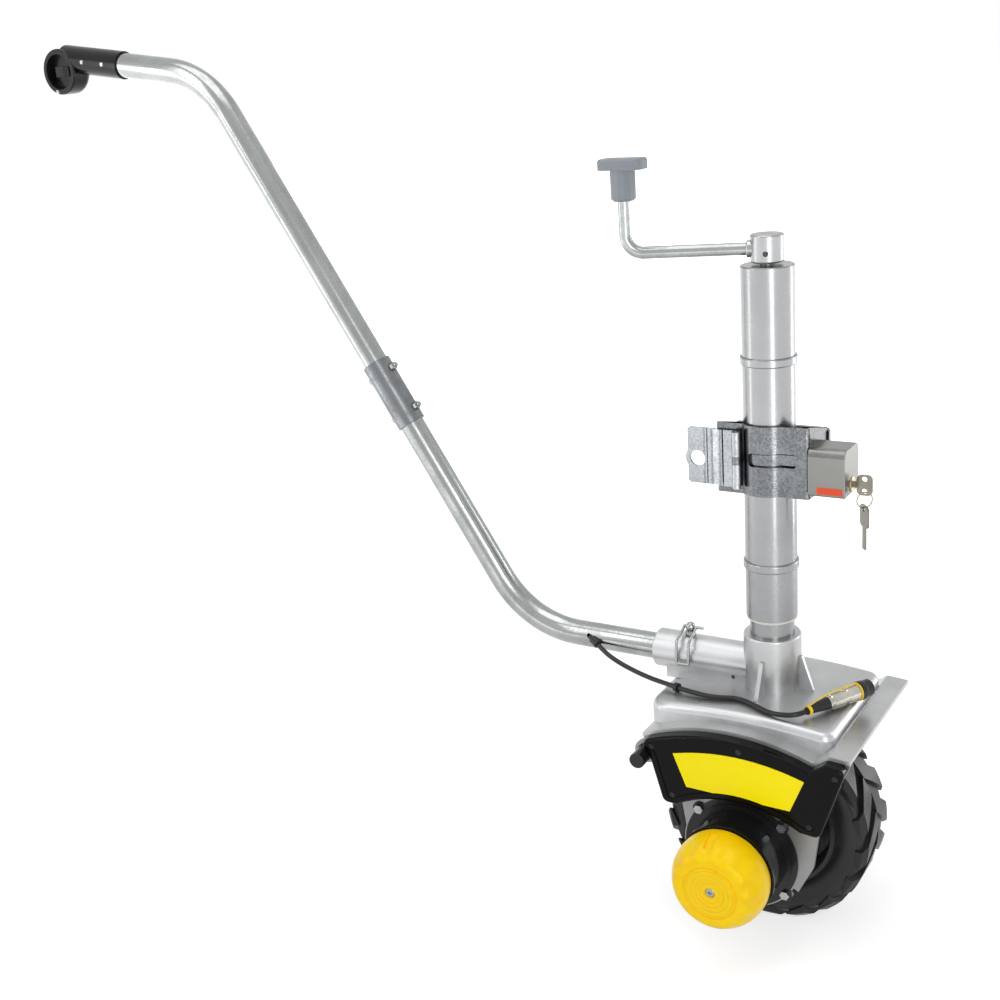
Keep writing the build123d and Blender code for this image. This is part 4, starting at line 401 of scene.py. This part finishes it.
class JockeySizes(bpy.types.PropertyGroup):
    """Sizes of the pieces that only the scene holds"""

    label_top: length_setting("Label top", "Half the width of the label's top", 0.080)
    label_low: length_setting("Label foot", "Half the width of the label's foot", 0.0635)
    patch_width: length_setting("Lock patch", "Width of the blank patch on the lock", 0.029)
    cable_bevel: length_setting("Cable radius", "Half the cable's thickness", 0.003)


def colours():
    """The colours as they are set"""
    return bpy.context.scene.jockey_colours


def sizes():
    """The sizes as they are set"""
    return bpy.context.scene.jockey_sizes


def patch_mesh(name, points, inward, outward):
    """A thin plate from an outline in X and Z, from inward to outward along Y"""
    mesh = bpy.data.meshes.new(name)
    work = bmesh.new()
    back = [work.verts.new((x, inward, z)) for x, z in points]
    face = work.faces.new(back)
    made = bmesh.ops.extrude_face_region(work, geom=[face])
    for vert in [item for item in made["geom"] if isinstance(item, bmesh.types.BMVert)]:
        vert.co.y = outward
    bmesh.ops.recalc_face_normals(work, faces=work.faces)
    work.to_mesh(mesh)
    work.free()
    return mesh


class JOCKEY_OT_camera(bpy.types.Operator):
    """Puts the camera where the photograph was taken from"""

    bl_idname = "jockey.camera"
    bl_label = "Camera"

    def execute(self, context):
        yaw, pitch, roll = (math.radians(turn) for turn in CAMERA_TURNS)
        right = Vector((math.cos(yaw), math.sin(yaw), 0))
        ahead = Vector(
            (-math.sin(yaw) * math.cos(pitch), math.cos(yaw) * math.cos(pitch), -math.sin(pitch))
        )
        up = right.cross(ahead)
        side = math.cos(roll) * right + math.sin(roll) * up
        top = -math.sin(roll) * right + math.cos(roll) * up
        turned = Matrix((side, top, -ahead)).transposed()
        lens = bpy.data.cameras.new("camera")
        lens.sensor_width = CAMERA_SENSOR
        lens.lens = CAMERA_LENS
        lens.clip_end = CAMERA_REACH
        camera = bpy.data.objects.new("camera", lens)
        context.scene.collection.objects.link(camera)
        camera.matrix_world = Matrix.Translation(CAMERA_PLACE) @ turned.to_4x4()
        context.scene.camera = camera
        return {"FINISHED"}


class JOCKEY_OT_cable(bpy.types.Operator):
    """Lays the cable from the handle to the plug"""

    bl_idname = "jockey.cable"
    bl_label = "Cable"

    def execute(self, context):
        line = bpy.data.curves.new("cable_sheath", "CURVE")
        line.dimensions = "3D"
        line.resolution_u = 16
        line.bevel_depth = sizes().cable_bevel
        line.bevel_resolution = 6
        line.use_fill_caps = True
        run = line.splines.new("NURBS")
        run.points.add(len(CABLE_ROUTE) - 1)
        for point, place in zip(run.points, CABLE_ROUTE):
            point.co = (*place, 1)
        run.order_u = 3
        run.use_endpoint_u = True
        piece = bpy.data.objects.new("cable_sheath", line)
        context.scene.collection.objects.link(piece)
        line.materials.append(
            moulding_finish("black_sheath", colours().rubber, (0.3, 0.45), 700, 0.1, 0.02)
        )
        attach(piece, "chassis")
        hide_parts("cable")
        return {"FINISHED"}


class JOCKEY_OT_mast(bpy.types.Operator):
    """Silver paint for the mast and the tube below it, and the screw inside them"""

    bl_idname = "jockey.mast"
    bl_label = "Mast"

    def execute(self, context):
        silver = paint_finish("mast_silver", colours().mast, 0.95, (0.2, 0.32), 320, 0.05)
        dress(silver, "outer_tube", "top_cap", "inner_tube")
        turned = steel_finish("turned_steel", colours().turned, (0.2, 0.4))
        dress(turned, "thrust_bearing", "lead_screw")
        nylon = moulding_finish("nylon_bush", colours().nylon, (0.4, 0.55), 500, 0.05, specular=0.5)
        dress(nylon, "lower_bush")
        dress(steel_finish("bronze_nut", colours().bronze, (0.25, 0.4)), "lift_nut")
        return {"FINISHED"}


class JOCKEY_OT_crank(bpy.types.Operator):
    """Hub, cross pin, rod and grip of the crank"""

    bl_idname = "jockey.crank"
    bl_label = "Crank"

    def execute(self, context):
        hub = paint_finish("hub_silver", rgba(colours().mast, 1.25), 0.9, (0.24, 0.38), 400, 0.06)
        dress(hub, "crank_hub")
        dress(zinc_finish("crank_zinc", colours().tube, 60, 0.85, (0.16, 0.3)), "crank_arm")
        # The cross pin is made near-black as painted shade for the hole in the hub
        dress(steel_finish("pin_painted_shade", colours().cross_pin, (0.25, 0.4)), "crank_cross_pin")
        grip = moulding_finish("grip_grey", colours().grip, (0.42, 0.6), 900, 0.25, 0.05, 0.5)
        dress(grip, "crank_knob")
        return {"FINISHED"}


class JOCKEY_OT_clamp(bpy.types.Operator):
    """Zinc of the clamp, its hasp and its pin"""

    bl_idname = "jockey.clamp"
    bl_label = "Clamp"

    def execute(self, context):
        plate = zinc_finish(
            "clamp_zinc", rgba(colours().plate, 1.1), 42, 0.6, (0.1, 0.22), 0.45, 0.7
        )
        dress(
            plate, "clamp_back_plate", "clamp_shoe", "clamp_housing", "clamp_band", "hasp_hinge_pin"
        )
        folded = zinc_finish(
            "hasp_zinc", rgba(colours().plate, 2.3), 42, 0.75, (0.1, 0.24), 0.7, 0.7, HASP_FOLDS
        )
        dress(folded, "hasp_plate")
        return {"FINISHED"}


class JOCKEY_OT_lock(bpy.types.Operator):
    """Lock case with a blank patch, barrel, keys and ring"""

    bl_idname = "jockey.lock"
    bl_label = "Lock and keys"

    def execute(self, context):
        case = paint_finish("lock_silver", colours().lock, 0.95, (0.18, 0.3), 500, 0.04)
        dress(case, "lock_body")
        dress(steel_finish("brass", colours().brass, (0.2, 0.35)), "lock_cylinder")
        dress(steel_finish("ring_steel", colours().ring, (0.2, 0.35)), "key_ring")
        dress(steel_finish("nickel_key", colours().key, (0.12, 0.26)), "key", "spare_key")
        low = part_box("lock_body")[0]
        left = low.x + PATCH_LEFT
        right = left + sizes().patch_width
        foot = low.z + PATCH_LOW
        top = low.z + PATCH_HIGH
        points = [(left, foot), (right, foot), (right, top), (left, top)]
        red = moulding_finish("red_patch", colours().patch, (0.35, 0.5), 600, 0.02)
        mesh = patch_mesh("lock_patch", points, low.y + PATCH_SINK, low.y - PATCH_PROUD)
        new_piece("lock_patch", mesh, "clamp", red)
        return {"FINISHED"}


class JOCKEY_OT_saddle(bpy.types.Operator):
    """Cast saddle, its cheeks, the collar of the handle and the zinc fasteners"""

    bl_idname = "jockey.saddle"
    bl_label = "Saddle and cheeks"

    def execute(self, context):
        casting = colours().casting
        cast = paint_finish("cast_silver", casting, 0.85, (0.27, 0.42), 260, 0.14, 0.8)
        dress(cast, "saddle_casting", "handle_collar")
        pressed = paint_finish(
            "cheek_silver", rgba(casting, 0.55), 0.85, (0.27, 0.42), 260, 0.1, 0.8
        )
        dress(pressed, "front_cheek", "rear_cheek")
        bolts = zinc_finish("bolt_zinc", colours().tube, 160, 0.8, (0.16, 0.28))
        dress(bolts, "cheek_bolts", "housing_screws", "sleeve_bolts", "head_screws", "knob_screw")
        dress(bolts, "locking_pin", "pin_ring")
        return {"FINISHED"}


class JOCKEY_OT_handle(bpy.types.Operator):
    """Handle tubes, their sleeve and the switch pod"""

    bl_idname = "jockey.handle"
    bl_label = "Handle"

    def execute(self, context):
        tube = zinc_finish("handle_zinc", colours().tube, 30, 0.8, (0.14, 0.28), 0.06)
        dress(tube, "handle_lower", "handle_upper")
        sleeve = zinc_finish("sleeve_zinc", rgba(colours().plate, 1.4), 60, 0.75, (0.2, 0.4))
        dress(sleeve, "coupling_sleeve")
        pod = moulding_finish("pod_black", colours().pod, (0.2, 0.32), 800, 0.12, 0.01, 0.22)
        dress(pod, "handle_head", "rocker_switch")
        return {"FINISHED"}


class JOCKEY_OT_cover(bpy.types.Operator):
    """Gloss black front cover with its blank yellow label"""

    bl_idname = "jockey.cover"
    bl_label = "Front cover"

    def execute(self, context):
        gloss = moulding_finish("cover_black", colours().cover, (0.07, 0.15), 90, 0.04, 0.004, 0.1)
        dress(gloss, "front_cover")
        dress(steel_finish("screw_dark", colours().screws, (0.25, 0.4)), "cover_screws")
        yellow = moulding_finish(
            "label_yellow", colours().label, (0.25, 0.36), 400, 0.02, specular=0.2
        )
        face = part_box("front_cover")[0].y + COVER_RIM
        foot = sizes().label_low
        top = sizes().label_top
        right_z, left_z = LABEL_FOOT_Z
        points = [(LABEL_FOOT_X + foot, right_z), (LABEL_FOOT_X - foot, left_z)]
        for step in range(LABEL_STEPS + 1):
            share = step / LABEL_STEPS
            way = 2 * share - 1
            rise = LABEL_ARCH * (1 - way ** 2) - LABEL_TOP_DROP * share
            points.append((LABEL_TOP_X + top * way, LABEL_TOP_Z + rise))
        mesh = patch_mesh("cover_label", points, face + LABEL_SINK, face - LABEL_PROUD)
        new_piece("cover_label", mesh, "chassis", yellow)
        return {"FINISHED"}


class JOCKEY_OT_drive(bpy.types.Operator):
    """Motor, gearbox, gears and the small socket beside them"""

    bl_idname = "jockey.drive"
    bl_label = "Motor and gears"

    def execute(self, context):
        black = moulding_finish("motor_black", colours().motor, (0.14, 0.24), 260, 0.06, 0.01)
        dress(black, "motor_can", "gearbox_housing", "gearbox_lid")
        steel = steel_finish("gear_steel", colours().gear, (0.25, 0.45))
        dress(steel, "motor_rotor", "layshaft_gears", "output_gear")
        dress(steel, "axle_bearings", "axle", "clutch_rod")
        socket = moulding_finish("socket_black", colours().socket, (0.22, 0.36), 500, 0.06, 0.01)
        dress(socket, "panel_socket", "panel_cap")
        return {"FINISHED"}


class JOCKEY_OT_drive_knob(bpy.types.Operator):
    """Yellow knob on the motor's nose, with rings round its screw that are bumped and painted with
    bands of shade, and grips outside them
    """

    bl_idname = "jockey.drive_knob"
    bl_label = "Drive knob"

    def execute(self, context):
        made, shader, place = blank_finish("knob_yellow")
        across, _, height = place.parts()
        up = height - AXLE_Z
        turn = up.maths("ARCTAN2", up, across)
        radius = (across * across + up * up) ** 0.5
        inner, full, fading, outer = KNOB_SHOULDER
        shoulder = radius.held(inner, full) * (1 - radius.held(fading, outer))
        grips = turn * KNOB_GRIPS
        waves = grips.maths("SINE", grips) * shoulder
        ripple = radius * KNOB_RINGS
        rings = ripple.maths("SINE", ripple) * (1 - radius.held(*KNOB_RINGS_FADE))
        skin = place.cloud(260, 2, 0.6)
        wear = place.cloud(40, 5, 0.6).held(0.4, 0.7)
        feed(
            shader,
            # The colour mixes random wear patches with painted shade in bands along the rings round
            # the screw
            Base_Color=(wear * 0.4 + rings * 0.3).blended(
                rgba(colours().knob), rgba(colours().knob_shade)
            ),
            Roughness=0.28 + wear * 0.12,
            Specular_IOR_Level=0.2,
            Normal=(waves * 0.7 + rings * 0.25).raised(0.45, 0.003, skin.raised(0.05, 0.0003)),
        )
        dress(made, "clutch_knob")
        return {"FINISHED"}


class JOCKEY_OT_wheel(bpy.types.Operator):
    """Lugged tyre on its rim"""

    bl_idname = "jockey.wheel"
    bl_label = "Wheel"

    def execute(self, context):
        tyre = moulding_finish("tyre_rubber", colours().rubber, (0.34, 0.55), 300, 0.25, 0.06)
        dress(tyre, "tyre")
        rim = moulding_finish("rim_black", colours().rim, (0.3, 0.45), 300, 0.08, 0.03)
        dress(rim, "wheel_rim")
        return {"FINISHED"}


class JOCKEY_OT_plug(bpy.types.Operator):
    """Boot, shell, cap and lanyard of the cable's plug"""

    bl_idname = "jockey.plug"
    bl_label = "Plug"

    def execute(self, context):
        rubber = moulding_finish("plug_rubber", colours().rubber, (0.3, 0.45), 500, 0.15, 0.02)
        dress(rubber, "connector_boot", "dust_cap", "cable_grommets")
        dress(steel_finish("plug_nickel", colours().nickel, (0.12, 0.26)), "connector_shell")
        yellow = moulding_finish(
            "lanyard_yellow", colours().lanyard, (0.35, 0.5), 400, 0.05, specular=0.5
        )
        dress(yellow, "cap_lanyard")
        return {"FINISHED"}


class JOCKEY_OT_stage(bpy.types.Operator):
    """White floor, soft lamps and the light around"""

    bl_idname = "jockey.stage"
    bl_label = "Stage"

    def lay_floor(self, context):
        """A floor that looks white and keeps the wheel's shadow"""
        mesh = bpy.data.meshes.new("floor")
        work = bmesh.new()
        bmesh.ops.create_circle(work, cap_ends=True, segments=64, radius=FLOOR_RADIUS)
        work.to_mesh(mesh)
        work.free()
        floor = bpy.data.objects.new("floor", mesh)
        floor.location = (0, 0, FLOOR_Z)
        context.scene.collection.objects.link(floor)
        made, shader, place = blank_finish("floor_white")
        tree = place.tree
        first, second = FLOOR_GREYS
        drift = place.cloud(1.3, 3).held(0.3, 0.7)
        feed(shader, Base_Color=drift.blended(rgba(first), rgba(second)), Roughness=0.75)
        away = place.make("ShaderNodeVectorMath", {"operation": "LENGTH"}, {0: place}, "Value")
        strength = seen_rays(tree) * (FLOOR_GLOW + away.held(*FLOOR_GLOW_GROWS))
        glow = place.make(
            "ShaderNodeEmission", None, {"Color": (1, 1, 1, 1), "Strength": strength}
        )
        grey = Wire(tree, shader.outputs[0])
        both = place.make("ShaderNodeAddShader", None, {0: grey, 1: glow})
        tree.links.new(both.socket, tree.nodes["Material Output"].inputs["Surface"])
        mesh.materials.append(made)

    def light_world(self, context):
        """White as a background and in reflections, and dim as a light"""
        world = bpy.data.worlds.new("studio")
        world.use_nodes = True
        context.scene.world = world
        tree = world.node_tree
        back = tree.nodes["Background"]
        back.inputs["Color"].default_value = (1, 1, 1, 1)
        strength = AMBIENT + seen_rays(tree) * (1 - AMBIENT)
        tree.links.new(strength.socket, back.inputs["Strength"])

    def hang_lamps(self, context):
        """Soft lamps, each as bright as its face says"""
        for name, place, aim, shine, width, height in LAMPS:
            light = bpy.data.lights.new(name, "AREA")
            light.shape = "RECTANGLE"
            light.size = width
            light.size_y = height
            light.energy = shine * math.pi * width * height
            lamp = bpy.data.objects.new(name, light)
            context.scene.collection.objects.link(lamp)
            lamp.location = place
            towards = Vector(aim) - Vector(place)
            lamp.rotation_euler = towards.to_track_quat("-Z", "Y").to_euler()

    def execute(self, context):
        self.lay_floor(context)
        self.light_world(context)
        self.hang_lamps(context)
        context.scene.view_settings.view_transform = "Standard"
        return {"FINISHED"}


class JOCKEY_PT_pieces(bpy.types.Panel):
    """Lists the pieces that the add-on dresses"""

    bl_idname = "JOCKEY_PT_pieces"
    bl_label = "Jockey wheel"
    bl_space_type = "VIEW_3D"
    bl_region_type = "UI"
    bl_category = "Jockey wheel"

    def draw(self, context):
        for operator in OPERATORS:
            self.layout.operator(operator.bl_idname)


OPERATORS = (
    JOCKEY_OT_camera,
    JOCKEY_OT_cable,
    JOCKEY_OT_mast,
    JOCKEY_OT_crank,
    JOCKEY_OT_clamp,
    JOCKEY_OT_lock,
    JOCKEY_OT_saddle,
    JOCKEY_OT_handle,
    JOCKEY_OT_cover,
    JOCKEY_OT_drive,
    JOCKEY_OT_drive_knob,
    JOCKEY_OT_wheel,
    JOCKEY_OT_plug,
    JOCKEY_OT_stage,
)
CLASSES = (JockeyColours, JockeySizes, *OPERATORS, JOCKEY_PT_pieces)


def register():
    """Adds the classes and the two groups of settings"""
    for item in CLASSES:
        bpy.utils.register_class(item)
    bpy.types.Scene.jockey_colours = PointerProperty(type=JockeyColours)
    bpy.types.Scene.jockey_sizes = PointerProperty(type=JockeySizes)


def unregister():
    """Takes away what register added"""
    del bpy.types.Scene.jockey_sizes
    del bpy.types.Scene.jockey_colours
    for item in reversed(CLASSES):
        bpy.utils.unregister_class(item)


def main():
    """Dresses the whole object"""
    register()
    for operator in OPERATORS:
        group, name = operator.bl_idname.split(".")
        getattr(getattr(bpy.ops, group), name)()


if __name__ == "__main__":
    main()
